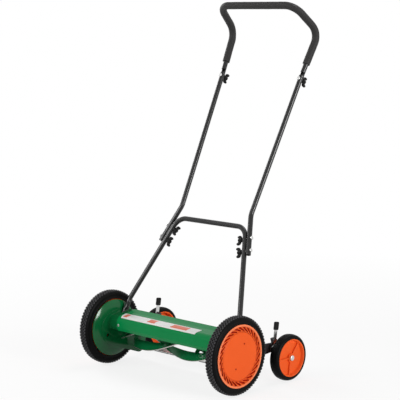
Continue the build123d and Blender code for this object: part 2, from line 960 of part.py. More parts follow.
def rear_tyre(s):
    shoulder_r = rear_z - rear_shoulder
    crown_r = rear_z - rear_crown
    crown_half = rear_width / 2 - rear_shoulder * 0.6
    with BuildPart() as tyre:
        with BuildSketch(across(wheelbase, rear_z)):
            with BuildLine():
                Polyline(
                    (s * rear_in, shoulder_r),
                    (s * rear_in, rear_bead_r),
                    (s * rear_out, rear_bead_r),
                    (s * rear_out, shoulder_r),
                )
                Spline(
                    (s * rear_out, shoulder_r),
                    (s * (rear_half + crown_half), crown_r),
                    (s * rear_half, rear_z),
                    (s * (rear_half - crown_half), crown_r),
                    (s * rear_in, shoulder_r),
                )
            make_face()
        revolve(axis=spin_axis(wheelbase, rear_z))
    return tyre.part


def rear_wheel(s):
    rim_r = rear_bead_r - rear_rim_wall
    rib_r = rear_hub_r - rear_rib_lap
    web_face = rear_out - rear_dish
    web_back = web_face - rear_web
    with BuildPart() as wheel:
        with BuildSketch(across(wheelbase, rear_z)):
            with BuildLine():
                Polyline(
                    (s * rear_in, rear_bead_r),
                    (s * rear_out, rear_bead_r),
                    (s * rear_out, rim_r),
                    (s * web_face, rim_r - rear_rim_flare),
                    (s * web_face, rear_hub_r),
                    (s * rear_hub_face, rear_hub_r),
                    (s * rear_hub_face, axle_r + running_fit),
                    (s * rear_in, axle_r + running_fit),
                    (s * rear_in, rear_hub_r),
                    (s * web_back, rear_hub_r),
                    (s * web_back, rim_r),
                    (s * rear_in, rim_r),
                    close=True,
                )
            make_face()
        revolve(axis=spin_axis(wheelbase, rear_z))
        rib_foot = web_face - rear_rib_root
        plane, width = slab(s * rib_foot, s * (rib_foot + rear_rib_depth))
        with BuildSketch(plane):
            with Locations((wheelbase, rear_z)):
                for angle in rear_rib_angles:
                    with Locations(polar((rib_r + rim_r) / 2, radians(angle))):
                        Rectangle(rim_r - rib_r, rear_rib, rotation=angle)
        extrude(amount=width)
    return wheel.part


def rear_axle(s):
    face = rear_hub_face + adjust_gap
    with BuildPart() as bolt:
        spot = Plane(origin=(s * face, wheelbase, rear_z), z_dir=(s, 0, 0))
        add(screw(spot, axle_r, face - arm_in, bolt_head_r, bolt_head))
    return bolt.part


# Handle
def bolt_hole(plane):
    """Cutter for a bolt through a tube."""
    with BuildPart(mode=Mode.PRIVATE) as cutter:
        with BuildSketch(plane):
            Circle(handle_bolt_r)
        extrude(amount=tube_dia, both=True)
    return cutter.part


def lower_handle():
    start = tongue_length + tongue_taper
    corner = in_plane(leg_x(cross_bar_at), cross_bar_at)
    points = [in_plane(tongue_x, start), in_plane(tongue_x, leg_foot), corner]
    points = points + [Vector(-p.X, p.Y, p.Z) for p in reversed(points)]
    with BuildPart() as handle:
        with BuildLine() as run:
            rounded_path(points, [leg_bend_r, cross_bend_r, cross_bend_r, leg_bend_r])
        path = run.wires()[0]
        sweep(sections=tube_section(path, tube_r, tube_r - tube_wall), path=path)
        for _, s in sides:
            up = in_plane(0, 1) - in_plane(0, 0)
            back = in_plane(0, 0, 1) - in_plane(0, 0)
            with BuildSketch(Plane(origin=in_plane(s * tongue_x, start), x_dir=back, z_dir=up)):
                Circle(tube_r)
            with BuildSketch(Plane(origin=in_plane(s * tongue_x, tongue_length), x_dir=back, z_dir=up)):
                SlotOverall(2 * tongue_half, tongue_thick)
            loft()
            with BuildSketch(Plane(origin=in_plane(s * tongue_x, 0), x_dir=back, z_dir=up)):
                SlotOverall(2 * tongue_half, tongue_thick)
            extrude(amount=tongue_length)
            flat = Plane(origin=in_plane(s * tongue_in, 0), x_dir=up, z_dir=(s, 0, 0))
            with BuildSketch(flat):
                Circle(tongue_half - tongue_thick * 0.2)
            extrude(amount=tongue_thick)
            with BuildSketch(flat):
                Circle(stud_r + running_fit)
            extrude(amount=tongue_thick, mode=Mode.SUBTRACT)
            for along in mid_bolts_at:
                add(bolt_hole(leg_frame(s, along)), mode=Mode.SUBTRACT)
    return handle.part


def mid_tube(s):
    end = lap_frame(s).from_local_coords(Vector(lap_above, 0, 0))
    foot = in_plane(s * mid_x(mid_foot_at), mid_foot_at)
    points = [foot, in_plane(s * mid_x(mid_bend_at), mid_bend_at), end]
    with BuildPart() as tube:
        with BuildLine() as run:
            rounded_path(points, [mid_bend_r])
        path = run.wires()[0]
        sweep(sections=tube_section(path, tube_r, tube_r - tube_wall), path=path)
        with BuildSketch(lap_frame(s)):
            with Locations((-lap_below - lap_gap, 0)):
                Rectangle(4 * tube_dia, 2 * tube_dia, align=(Align.MIN, Align.CENTER))
        extrude(amount=tube_dia, mode=Mode.SUBTRACT)
        for along in mid_bolts_at:
            add(bolt_hole(leg_frame(s, along, tube_dia + tube_gap)), mode=Mode.SUBTRACT)
        add(bolt_hole(lap_frame(s)), mode=Mode.SUBTRACT)
    return tube.part


def loop_points(foot_at):
    """Centre line of the upper loop, from a place on one leg round to the other."""
    bolt = in_plane(mid_top_x, top_bolt_at)
    knee = in_plane(knee_x, knee_at)
    foot = bolt + (knee - bolt) * ((foot_at - top_bolt_at) / (knee_at - top_bolt_at))
    tilt = radians(loop_lean)
    corner = Vector(loop_x, knee.Y - loop_rise * sin(tilt), knee.Z + loop_rise * cos(tilt))
    points = [foot, knee, corner]
    return points + [Vector(-p.X, p.Y, p.Z) for p in reversed(points)]


def upper_handle():
    with BuildPart() as loop:
        with BuildLine() as run:
            rounded_path(loop_points(top_bolt_at - lap_below), loop_bends)
        path = run.wires()[0]
        sweep(sections=tube_section(path, tube_r, tube_r - tube_wall), path=path)
        for _, s in sides:
            with BuildSketch(lap_frame(s)):
                with Locations((lap_above + lap_open, 0)):
                    Rectangle(4 * tube_dia, 2 * tube_dia, align=(Align.MAX, Align.CENTER))
            extrude(amount=-tube_dia, mode=Mode.SUBTRACT)
            add(bolt_hole(lap_frame(s)), mode=Mode.SUBTRACT)
    return loop.part


def grip():
    with BuildPart() as foam:
        with BuildLine() as run:
            rounded_path(loop_points(grip_foot_at), loop_bends)
        path = run.wires()[0]
        sweep(sections=tube_section(path, grip_r, tube_r + grip_fit), path=path)
    return foam.part


def handle_bolts():
    reach = knob_stand + knob_length
    with BuildPart() as bolts:
        for _, s in sides:
            for along in mid_bolts_at:
                seat = leg_frame(s, along).offset(1.5 * tube_dia + tube_gap)
                add(screw(seat, handle_bolt_r, 2 * tube_dia + tube_gap + reach, handle_head_r, handle_head))
            lap = lap_frame(s)
            seat = Plane(origin=lap.origin - lap.z_dir * tube_r, x_dir=lap.x_dir, z_dir=-lap.z_dir)
            add(screw(seat, handle_bolt_r, tube_dia + reach, handle_head_r, handle_head))
    return bolts.part


def knob(plane):
    """Wing knob on a bolt's end: its foot is on the plane and its wings lie along the tube."""
    half = [
        (knob_hub_r / 2, knob_wing_low),
        (knob_wing * 0.75, knob_wing_low + knob_wing_flare),
        (knob_wing, knob_wing_low + 2 * knob_wing_flare),
        (knob_wing, knob_wing_top),
        (knob_wing - knob_wing_tip, knob_wing_top),
        (knob_hub_r / 2, knob_length),
    ]
    outline = half + [(-u, v) for u, v in reversed(half)]
    with BuildPart() as wing:
        with BuildSketch(plane):
            Circle(knob_hub_r)
        extrude(amount=knob_length, taper=knob_taper)
        with BuildSketch(Plane(origin=plane.origin, x_dir=plane.x_dir, z_dir=-plane.y_dir)):
            with BuildLine():
                Polyline(*outline, close=True)
            make_face()
            fillet(vertices(), knob_wing_thick * 0.3)
        extrude(amount=knob_wing_thick / 2, both=True)
        with BuildSketch(plane):
            Circle(handle_bolt_r + running_fit)
        extrude(amount=2 * knob_length, mode=Mode.SUBTRACT)
    return wing.part


def knob_seat(frame, distance, sign):
    origin = frame.origin + frame.z_dir * (sign * distance)
    return Plane(origin=origin, x_dir=frame.x_dir, z_dir=frame.z_dir * sign)


blades = reel_blades()
keep(deck(), "deck")
keep(deck_screws(), "deck_screws")
keep(bed_knife(), "bed_knife")
keep(cutter_bar(), "cutter_bar")
keep(knife_screws(), "knife_screws")
keep(reel_shaft(), "reel_shaft")
keep(reel_spiders(blades), "reel_spiders")
keep(blades, "reel_blades")
for side, s in sides:
    keep(side_plate(s), side + "_side_plate")
    keep(front_axle(s), side + "_front_axle")
    keep(wheel_clip(s), side + "_wheel_clip")
    keep(reel_bearing(s), side + "_reel_bearing")
    keep(handle_stud(s), side + "_handle_stud")
    keep(front_tyre(s), side + "_front_tyre")
    keep(front_wheel(s), side + "_front_wheel")
    keep(wheel_cap(s), side + "_wheel_cap")
    keep(pinion(s), side + "_pinion")
    keep(rear_bracket(s), side + "_rear_bracket")
    keep(pivot_bolt(s), side + "_pivot_bolt")
    keep(adjuster_arm(s), side + "_adjuster_arm")
    keep(lever(s), side + "_lever")
    keep(lever_tip(s), side + "_lever_tip")
    keep(rear_axle(s), side + "_rear_axle")
    keep(rear_tyre(s), side + "_rear_tyre")
    keep(rear_wheel(s), side + "_rear_wheel")
    keep(mid_tube(s), side + "_middle_tube")
    for name, along in zip(("lower", "upper"), mid_bolts_at):
        keep(knob(knob_seat(leg_frame(s, along), tube_r + knob_stand, -1)), side + "_" + name + "_knob")
    keep(knob(knob_seat(lap_frame(s), tube_r + knob_stand, 1)), side + "_top_knob")
keep(lower_handle(), "lower_handle")
keep(upper_handle(), "upper_handle")
keep(grip(), "grip")
keep(handle_bolts(), "handle_bolts")

# The origin goes under the middle of the whole mower
whole = Compound(children=[part.moved(Location((0, 0, 0))) for part in finished]).bounding_box()
centre_y = (whole.min.Y + whole.max.Y) / 2
print("front axle at y", -centre_y)
for part in finished:
    label = part.label
    placed = part.moved(Location((0, -centre_y, 0)))
    placed.label = label
    export_step(placed, f"parts/{label}.step")
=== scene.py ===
"""Push reel mower: finishes, tyres, vaned wheels, knobs, foam grip, stripe, studio and camera."""
import json
import logging
import math
from collections.abc import Callable
from dataclasses import dataclass
from enum import Enum

import bmesh
import bpy
from mathutils import Matrix, Vector


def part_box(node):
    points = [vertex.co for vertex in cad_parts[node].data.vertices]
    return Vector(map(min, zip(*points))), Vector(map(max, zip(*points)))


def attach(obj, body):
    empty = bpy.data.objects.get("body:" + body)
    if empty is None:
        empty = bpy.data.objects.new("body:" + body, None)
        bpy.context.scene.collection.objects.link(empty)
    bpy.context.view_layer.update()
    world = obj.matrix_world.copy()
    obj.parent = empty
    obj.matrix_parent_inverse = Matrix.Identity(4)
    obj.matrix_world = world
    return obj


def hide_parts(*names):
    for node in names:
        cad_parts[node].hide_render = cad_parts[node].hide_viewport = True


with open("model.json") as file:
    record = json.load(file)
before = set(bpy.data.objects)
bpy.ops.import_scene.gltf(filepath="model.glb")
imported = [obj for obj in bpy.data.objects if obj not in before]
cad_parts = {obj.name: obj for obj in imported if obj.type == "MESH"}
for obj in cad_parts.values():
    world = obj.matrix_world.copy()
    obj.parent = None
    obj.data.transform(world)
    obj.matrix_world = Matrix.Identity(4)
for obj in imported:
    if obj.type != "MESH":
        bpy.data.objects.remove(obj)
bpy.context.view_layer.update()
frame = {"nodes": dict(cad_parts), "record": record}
log = logging.getLogger("reel_mower")

Colour = tuple[float, float, float]
Triple = tuple[float, float, float]
Pairs = tuple[tuple[float, float], ...]
Socket = bpy.types.NodeSocket
Piece = bpy.types.Object
Look = bpy.types.Material

# Lengths are metres and angles are radians, unless a name says otherwise.
X_AXIS = (1.0, 0.0, 0.0)
# Turn that lays a cylinder along X
ALONG_X = (0.0, math.pi / 2, 0.0)
# Distance under which two places count as one
NEAR = 1e-5
BEVEL_SAMPLES = 6
# Plain ring outside the front wheel's slots, which carries a painted highlight, and a radius that no part of
# a wheel reaches, which leaves a wheel without that highlight
RIM_RING = 0.0065
NO_RIM = 1.0
# Axis that the handle swings on
SWING_BEHIND_AXLE = 0.0282
SWING_HEIGHT = 0.160


class Body(Enum):
    """CAD bodies that new pieces ride on."""

    FRAME = "frame"
    HANDLE = "handle"
    LEFT_WHEEL = "left_drive_wheel"
    RIGHT_WHEEL = "right_drive_wheel"
    LEFT_REAR = "left_rear_roller"
    RIGHT_REAR = "right_rear_roller"


class Slot(Enum):
    """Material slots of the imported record."""

    GREEN_PAINT = "green_paint"
    BLADE_GREEN = "blade_green"
    BLACK_PAINT = "black_paint"
    DARK_STEEL = "dark_steel"
    BRIGHT_STEEL = "bright_steel"
    ORANGE_PLASTIC = "orange_plastic"
    TYRE_RUBBER = "tyre_rubber"
    BLACK_PLASTIC = "black_plastic"
    FOAM = "foam"


# Shader graph


class Graph:
    """Short calls that add and join the nodes of one shader tree."""

    colour_inputs = (6, 7)
    colour_output = 2

    def __init__(self, tree: bpy.types.NodeTree) -> None:
        """Hold the node tree of a material or a group."""
        self.tree = tree

    def node(self, kind: str, settings: dict | None = None, **sockets: object) -> bpy.types.Node:
        """Add a node.

        Args:
            kind: Name of the node type.
            settings: Attributes of the node itself.
            sockets: Values or output sockets for its inputs, with _ for a space.

        Returns:
            The new node.
        """
        made = self.tree.nodes.new(kind)
        for name, value in (settings or {}).items():
            setattr(made, name, value)
        for name, value in sockets.items():
            self.feed(made.inputs[name.replace("_", " ")], value)
        return made

    def feed(self, socket: Socket, value: object) -> None:
        """Link an output socket to an input, or set the input's value.

        Args:
            socket: The input socket.
            value: An output socket, a number or a tuple.
        """
        if isinstance(value, Socket):
            self.tree.links.new(value, socket)
        else:
            socket.default_value = value

    def math(self, operation: str, first: object, second: object = 0.0) -> Socket:
        """Add a Math node.

        Args:
            operation: The node's operation.
            first: First number or socket.
            second: Second number or socket.

        Returns:
            Its output socket.
        """
        made = self.node("ShaderNodeMath", {"operation": operation})
        self.feed(made.inputs[0], first)
        self.feed(made.inputs[1], second)
        return made.outputs[0]

    def remap(
        self, value: object, low: float, high: float, to_low: float = 0.0, to_high: float = 1.0
    ) -> Socket:
        """Map one range of a value onto another, clamped.

        Args:
            value: Number or socket.
            low: Start of the incoming range.
            high: End of the incoming range.
            to_low: Value at the start.
            to_high: Value at the end.

        Returns:
            The mapped value's socket.
        """
        made = self.node("ShaderNodeMapRange")
        for place, number in enumerate((value, low, high, to_low, to_high)):
            self.feed(made.inputs[place], number)
        return made.outputs[0]

    def mix(self, share: object, first: object, second: object) -> Socket:
        """Mix two colours.

        Args:
            share: Share of the second colour.
            first: First colour or socket.
            second: Second colour or socket.

        Returns:
            The mixed colour's socket.
        """
        made = self.node("ShaderNodeMix", {"data_type": "RGBA"})
        self.feed(made.inputs[0], share)
        for place, colour in zip(self.colour_inputs, (first, second)):
            plain = not isinstance(colour, Socket)
            self.feed(made.inputs[place], (*colour, 1.0) if plain else colour)
        return made.outputs[self.colour_output]

    def place(self) -> Socket:
        """Object coordinates."""
        return self.node("ShaderNodeTexCoord").outputs["Object"]

    def from_axis(self, centre_y: float, centre_z: float) -> tuple[Socket, Socket]:
        """Place relative to an axis that runs along X.

        Args:
            centre_y: Y of the axis.
            centre_z: Z of the axis.

        Returns:
            X, and the distance from the axis.
        """
        place = self.node("ShaderNodeSeparateXYZ")
        self.feed(place.inputs[0], self.place())
        over_y = self.math("SUBTRACT", place.outputs[1], centre_y)
        over_z = self.math("SUBTRACT", place.outputs[2], centre_z)
        squares = (self.math("MULTIPLY", over, over) for over in (over_y, over_z))
        return place.outputs[0], self.math("SQRT", self.math("ADD", *squares))


def new_group(name: str, inputs: dict[str, float], outputs: tuple[str, ...]) -> tuple[Graph, dict, dict]:
    """Start a shader node group with named number sockets.

    Args:
        name: The group's name.
        inputs: Input names and their first values.
        outputs: Output names.

    Returns:
        The graph, its inputs by name and its outputs by name.
    """
    tree = bpy.data.node_groups.new(name, "ShaderNodeTree")
    for label, value in inputs.items():
        socket = tree.interface.new_socket(label, in_out="INPUT", socket_type="NodeSocketFloat")
        socket.default_value = value
    for label in outputs:
        tree.interface.new_socket(label, in_out="OUTPUT", socket_type="NodeSocketFloat")
    graph = Graph(tree)
    entry = graph.node("NodeGroupInput")
    leave = graph.node("NodeGroupOutput")
    return graph, entry.outputs, leave.inputs


class Effects:
    """Shader groups that several finishes share, each built once."""

    mottle_range = (0.3, 0.7)
    edge_range = (0.995, 0.85)
    chip_range = (0.45, 0.6)

    def __init__(self) -> None:
        """Build the three groups."""
        self.grain = self._grain()
        self.mottle = self._mottle()
        self.wear = self._wear()

    def _grain(self) -> bpy.types.NodeTree:
        """Fine surface grain, as a height and a roughness change.

        Returns:
            The group.
        """
        inputs = {"Scale": 900.0, "Rough": 0.4, "Spread": 0.08}
        graph, given, out = new_group("fine_grain", inputs, ("Height", "Roughness"))
        noise = graph.node(
            "ShaderNodeTexNoise", Vector=graph.place(), Scale=given["Scale"], Detail=3.0, Roughness=0.6
        )
        graph.feed(out["Height"], noise.outputs[0])
        shift = graph.math("MULTIPLY", graph.math("SUBTRACT", noise.outputs[0], 0.5), given["Spread"])
        graph.feed(out["Roughness"], graph.math("ADD", given["Rough"], shift))
        return graph.tree

    def _mottle(self) -> bpy.types.NodeTree:
        """Slow unevenness over a surface.

        Returns:
            The group.
        """
        graph, given, out = new_group("slow_mottle", {"Scale": 9.0, "Amount": 0.3}, ("Mask",))
        noise = graph.node(
            "ShaderNodeTexNoise", Vector=graph.place(), Scale=given["Scale"], Detail=5.0, Roughness=0.55
        )
        cloud = graph.remap(noise.outputs[0], *self.mottle_range)
        graph.feed(out["Mask"], graph.math("MULTIPLY", cloud, given["Amount"]))
        return graph.tree

    def _wear(self) -> bpy.types.NodeTree:
        """Rubbed edges, found where the rounded normal leaves the face's own.

        Returns:
            The group.
        """
        inputs = {"Radius": 0.0012, "Amount": 0.5, "Scale": 140.0}
        graph, given, out = new_group("edge_wear", inputs, ("Mask",))
        soft = graph.node("ShaderNodeBevel", {"samples": BEVEL_SAMPLES}, Radius=given["Radius"])
        flat = graph.node("ShaderNodeNewGeometry")
        turn = graph.node("ShaderNodeVectorMath", {"operation": "DOT_PRODUCT"})
        graph.feed(turn.inputs[0], soft.outputs[0])
        graph.feed(turn.inputs[1], flat.outputs["Normal"])
        edge = graph.remap(turn.outputs["Value"], *self.edge_range)
        noise = graph.node("ShaderNodeTexNoise", Vector=graph.place(), Scale=given["Scale"], Detail=4.0)
        broken = graph.remap(noise.outputs[0], *self.chip_range)
        chips = graph.math("MULTIPLY", edge, broken)
        graph.feed(out["Mask"], graph.math("MULTIPLY", chips, given["Amount"]))
        return graph.tree


@dataclass(frozen=True)
class Finish:
    """A plain finish: a base colour with mottle, grain, rubbed edges and rounded corners.

    The sizes are metres and the scales are repeats per metre.
    """

    name: str
    colour: Colour
    deep: Colour
    rubbed: Colour
    roughness: float = 0.4
    spread: float = 0.1
    metallic: float = 0.0
    grain_scale: float = 700.0
    grain_depth: float = 0.00005
    mottle_scale: float = 9.0
    mottle: float = 0.4
    wear: float = 0.4
    edge_radius: float = 0.0008
    specular: float = 0.5

    def base_colour(self, graph: Graph, effects: Effects) -> Socket:
        """Colour over the surface before the edges are rubbed.

        Args:
            graph: The material's graph.
            effects: The shared groups.

        Returns:
            The colour socket.
        """
        group = {"node_tree": effects.mottle}
        mottle = graph.node("ShaderNodeGroup", group, Scale=self.mottle_scale, Amount=self.mottle)
        return graph.mix(mottle.outputs["Mask"], self.colour, self.deep)

    def height(self, graph: Graph, grain: bpy.types.Node) -> Socket:
        """Relief that feeds the bump: the grain alone."""
        return grain.outputs["Height"]

    def shine(self, graph: Graph, shader: bpy.types.Node) -> None:
        """Set what a finish adds to the shader: nothing here."""

    def build(self, effects: Effects) -> Look:
        """Make the material.

        Args:
            effects: The shared groups.

        Returns:
            The material.
        """
        made = bpy.data.materials.new(self.name)
        made.use_nodes = True
        made.diffuse_color = (*self.colour, 1.0)
        graph = Graph(made.node_tree)
        shader = made.node_tree.nodes["Principled BSDF"]
        group = {"node_tree": effects.grain}
        grain = graph.node(
            "ShaderNodeGroup", group, Scale=self.grain_scale, Rough=self.roughness, Spread=self.spread
        )
        wear = graph.node("ShaderNodeGroup", {"node_tree": effects.wear}, Amount=self.wear)
        paint = graph.mix(wear.outputs["Mask"], self.base_colour(graph, effects), self.rubbed)
        graph.feed(shader.inputs["Base Color"], paint)
        graph.feed(shader.inputs["Roughness"], grain.outputs["Roughness"])
        shader.inputs["Metallic"].default_value = self.metallic
        shader.inputs["Specular IOR Level"].default_value = self.specular
        soft = graph.node("ShaderNodeBevel", {"samples": BEVEL_SAMPLES}, Radius=self.edge_radius)
        bump = graph.node("ShaderNodeBump", Strength=1.0, Distance=self.grain_depth)
        graph.feed(bump.inputs["Height"], self.height(graph, grain))
        graph.feed(bump.inputs["Normal"], soft.outputs[0])
        graph.feed(shader.inputs["Normal"], bump.outputs[0])
        self.shine(graph, shader)
        return made


@dataclass(frozen=True)
class BladePaint(Finish):
    """Green reel paint with the outer cutting land ground to bare steel."""

    centre_y: float = 0.0
    centre_z: float = 0.0
    land_r: float = 0.0618
    blur: float = 0.0003
    steel: Colour = (0.55, 0.53, 0.5)

    def land(self, graph: Graph) -> Socket:
        """Mask of the ground land, by distance from the reel's axis."""
        radius = graph.from_axis(self.centre_y, self.centre_z)[1]
        return graph.remap(radius, self.land_r - self.blur, self.land_r + self.blur)

    def base_colour(self, graph: Graph, effects: Effects) -> Socket:
        """Paint, and bare steel on the land."""
        return graph.mix(self.land(graph), super().base_colour(graph, effects), self.steel)

    def shine(self, graph: Graph, shader: bpy.types.Node) -> None:
        """Make the land metallic."""
        graph.feed(shader.inputs["Metallic"], self.land(graph))


@dataclass(frozen=True)
class BrushedSteel(Finish):
    """Bright steel with fine lines drawn along one direction."""

    stretch: Triple = (1.0, 1.0, 0.05)
    grain_share: float = 0.2

    def height(self, graph: Graph, grain: bpy.types.Node) -> Socket:
        """Drawn lines over a little of the grain.

        Args:
            graph: The material's graph.
            grain: The grain group's node.

        Returns:
            The height socket.
        """
        turn = graph.node("ShaderNodeMapping", Vector=graph.place(), Scale=self.stretch)
        lines = graph.node("ShaderNodeTexNoise", Vector=turn.outputs[0], Scale=self.grain_scale, Detail=2.0)
        share = graph.math("MULTIPLY", grain.outputs["Height"], self.grain_share)
        return graph.math("ADD", lines.outputs[0], share)


@dataclass(frozen=True)
class CellFoam(Finish):
    """Closed-cell foam: small open pits all over."""

    cell_scale: float = 420.0
    grain_share: float = 0.5

    def height(self, graph: Graph, grain: bpy.types.Node) -> Socket:
        """Pits of the cells under the grain.

        Args:
            graph: The material's graph.
            grain: The grain group's node.

        Returns:
            The height socket.
        """
        cells = graph.node("ShaderNodeTexVoronoi", Vector=graph.place(), Scale=self.cell_scale)
        share = graph.math("MULTIPLY", grain.outputs["Height"], self.grain_share)
        return graph.math("ADD", cells.outputs["Distance"], share)


@dataclass(frozen=True)
class RecessedMoulding(Finish):
    """Moulded plastic with painted shade in its slots and dimples, and a painted highlight on the plain ring
    of its rim.
    """

    centre_y: float = 0.0
    centre_z: float = 0.0
    face_x: float = 0.0
    # Depth below the face and radius span inside which the recesses get the painted shade
    depth: tuple[float, float] = (0.0021, 0.0068)
    ring: tuple[float, float] = (0.0775, 0.0945)
    # Painted shade: the dark red that stands in for the shadow inside the recesses
    painted_shade: Colour = (0.40, 0.008, 0.001)
    # Painted highlight: out from this radius and near the face, the rim ring is painted in the paler colour
    # rim, as if lit
    painted_highlight_r: float = NO_RIM
    painted_highlight_depth: float = 0.001
    rim: Colour = (0.93, 0.235, 0.095)

    def base_colour(self, graph: Graph, effects: Effects) -> Socket:
        """Plastic, with painted shade inside the recesses and a painted highlight on the rim.

        Args:
            graph: The material's graph.
            effects: The shared groups.

        Returns:
            The colour socket.
        """
        across, radius = graph.from_axis(self.centre_y, self.centre_z)
        sunk = graph.math("SUBTRACT", self.face_x, graph.math("ABSOLUTE", across))
        # Mask of the painted shade: sunk into a recess and inside the ring
        painted_shade_mask: object = 1.0
        for value, (low, high) in ((sunk, self.depth), (radius, self.ring)):
            above = graph.math("GREATER_THAN", value, low)
            below = graph.math("LESS_THAN", value, high)
            painted_shade_mask = graph.math("MULTIPLY", painted_shade_mask, graph.math("MULTIPLY", above, below))
        # Paint the shade into the recesses
        plain = graph.mix(painted_shade_mask, super().base_colour(graph, effects), self.painted_shade)
        # Paint the highlight onto the rim ring
        outside = graph.math("GREATER_THAN", radius, self.painted_highlight_r)
        painted_highlight_mask = graph.math("MULTIPLY", outside, graph.math("LESS_THAN", sunk, self.painted_highlight_depth))
        return graph.mix(painted_highlight_mask, plain, self.rim)


# Modelling by hand


def start_clean() -> None:
    """Leave edit mode and deselect everything."""
    if bpy.context.object and bpy.context.object.mode != "OBJECT":
        bpy.ops.object.mode_set(mode="OBJECT")
    bpy.ops.object.select_all(action="DESELECT")


def select_only(*pieces: Piece) -> None:
    """Select just these pieces and make the last one active.

    Args:
        pieces: The objects.
    """
    start_clean()
    for piece in pieces:
        piece.select_set(True)
    bpy.context.view_layer.objects.active = pieces[-1]


def settle(piece: Piece, name: str) -> None:
    """Name a new piece and put its place into its mesh.

    Args:
        piece: The new object, active and selected.
        name: Its name.
    """
    piece.name = name
    piece.data.name = name
    bpy.ops.object.transform_apply(location=True, rotation=True, scale=True)


def apply_modifier(piece: Piece, kind: str, **settings: object) -> None:
    """Add a modifier, set it and apply it.

    Args:
        piece: The active object.
        kind: The modifier's type.
        settings: Its attributes.
    """
    made = piece.modifiers.new(kind.lower(), kind)
    for name, value in settings.items():
        setattr(made, name, value)
    bpy.context.view_layer.objects.active = piece
    bpy.ops.object.modifier_apply(modifier=made.name)


def round_edges(piece: Piece, width: float, sharper: float = 50.0) -> None:
    """Bevel the sharp edges.

    Args:
        piece: The active object.
        width: Width of the bevel.
        sharper: Angle in degrees over which an edge is sharp.
    """
    limit = math.radians(sharper)
    apply_modifier(piece, "BEVEL", width=width, segments=3, limit_method="ANGLE", angle_limit=limit)


def edit_all() -> None:
    """Enter edit mode with everything selected."""
    bpy.ops.object.mode_set(mode="EDIT")
    bpy.ops.mesh.select_all(action="SELECT")


def close_edit() -> None:
    """Turn every normal outward and leave edit mode."""
    bpy.ops.mesh.select_all(action="SELECT")
    bpy.ops.mesh.normals_make_consistent(inside=False)
    bpy.ops.object.mode_set(mode="OBJECT")


def copy_round(count: int, middle: Vector) -> None:
    """In edit mode, copy the whole mesh in equal steps round a wheel's axis.

    Args:
        count: How many there are in the end.
        middle: A point on the axis.
    """
    turn = 2 * math.pi / count * (count - 1)
    bpy.ops.mesh.select_all(action="SELECT")
    bpy.ops.mesh.spin(steps=count - 1, dupli=True, angle=turn, center=middle, axis=X_AXIS)


def pick_vertices(piece: Piece, chosen: Callable[[bmesh.types.BMVert], bool]) -> None:
    """In edit mode, select just the vertices that a test accepts.

    Args:
        piece: The object in edit mode.
        chosen: Test of a vertex.
    """
    bpy.ops.mesh.select_mode(type="VERT")
    bpy.ops.mesh.select_all(action="DESELECT")
    shape = bmesh.from_edit_mesh(piece.data)
    for vertex in shape.verts:
        vertex.select = bool(chosen(vertex))
    shape.select_flush_mode()
    bmesh.update_edit_mesh(piece.data)


def smooth(piece: Piece, degrees: float) -> None:
    """Shade smooth, with edges sharper than an angle kept.

    Args:
        piece: The object to shade.
        degrees: The angle.
    """
    select_only(piece)
    bpy.ops.object.shade_smooth_by_angle(angle=math.radians(degrees))


def box_of(node: str) -> tuple[Vector, Vector]:
    """Low and high corners of a CAD node.

    Args:
        node: The node's name.

    Returns:
        Both corners.
    """
    low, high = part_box(node)
    return Vector(low), Vector(high)


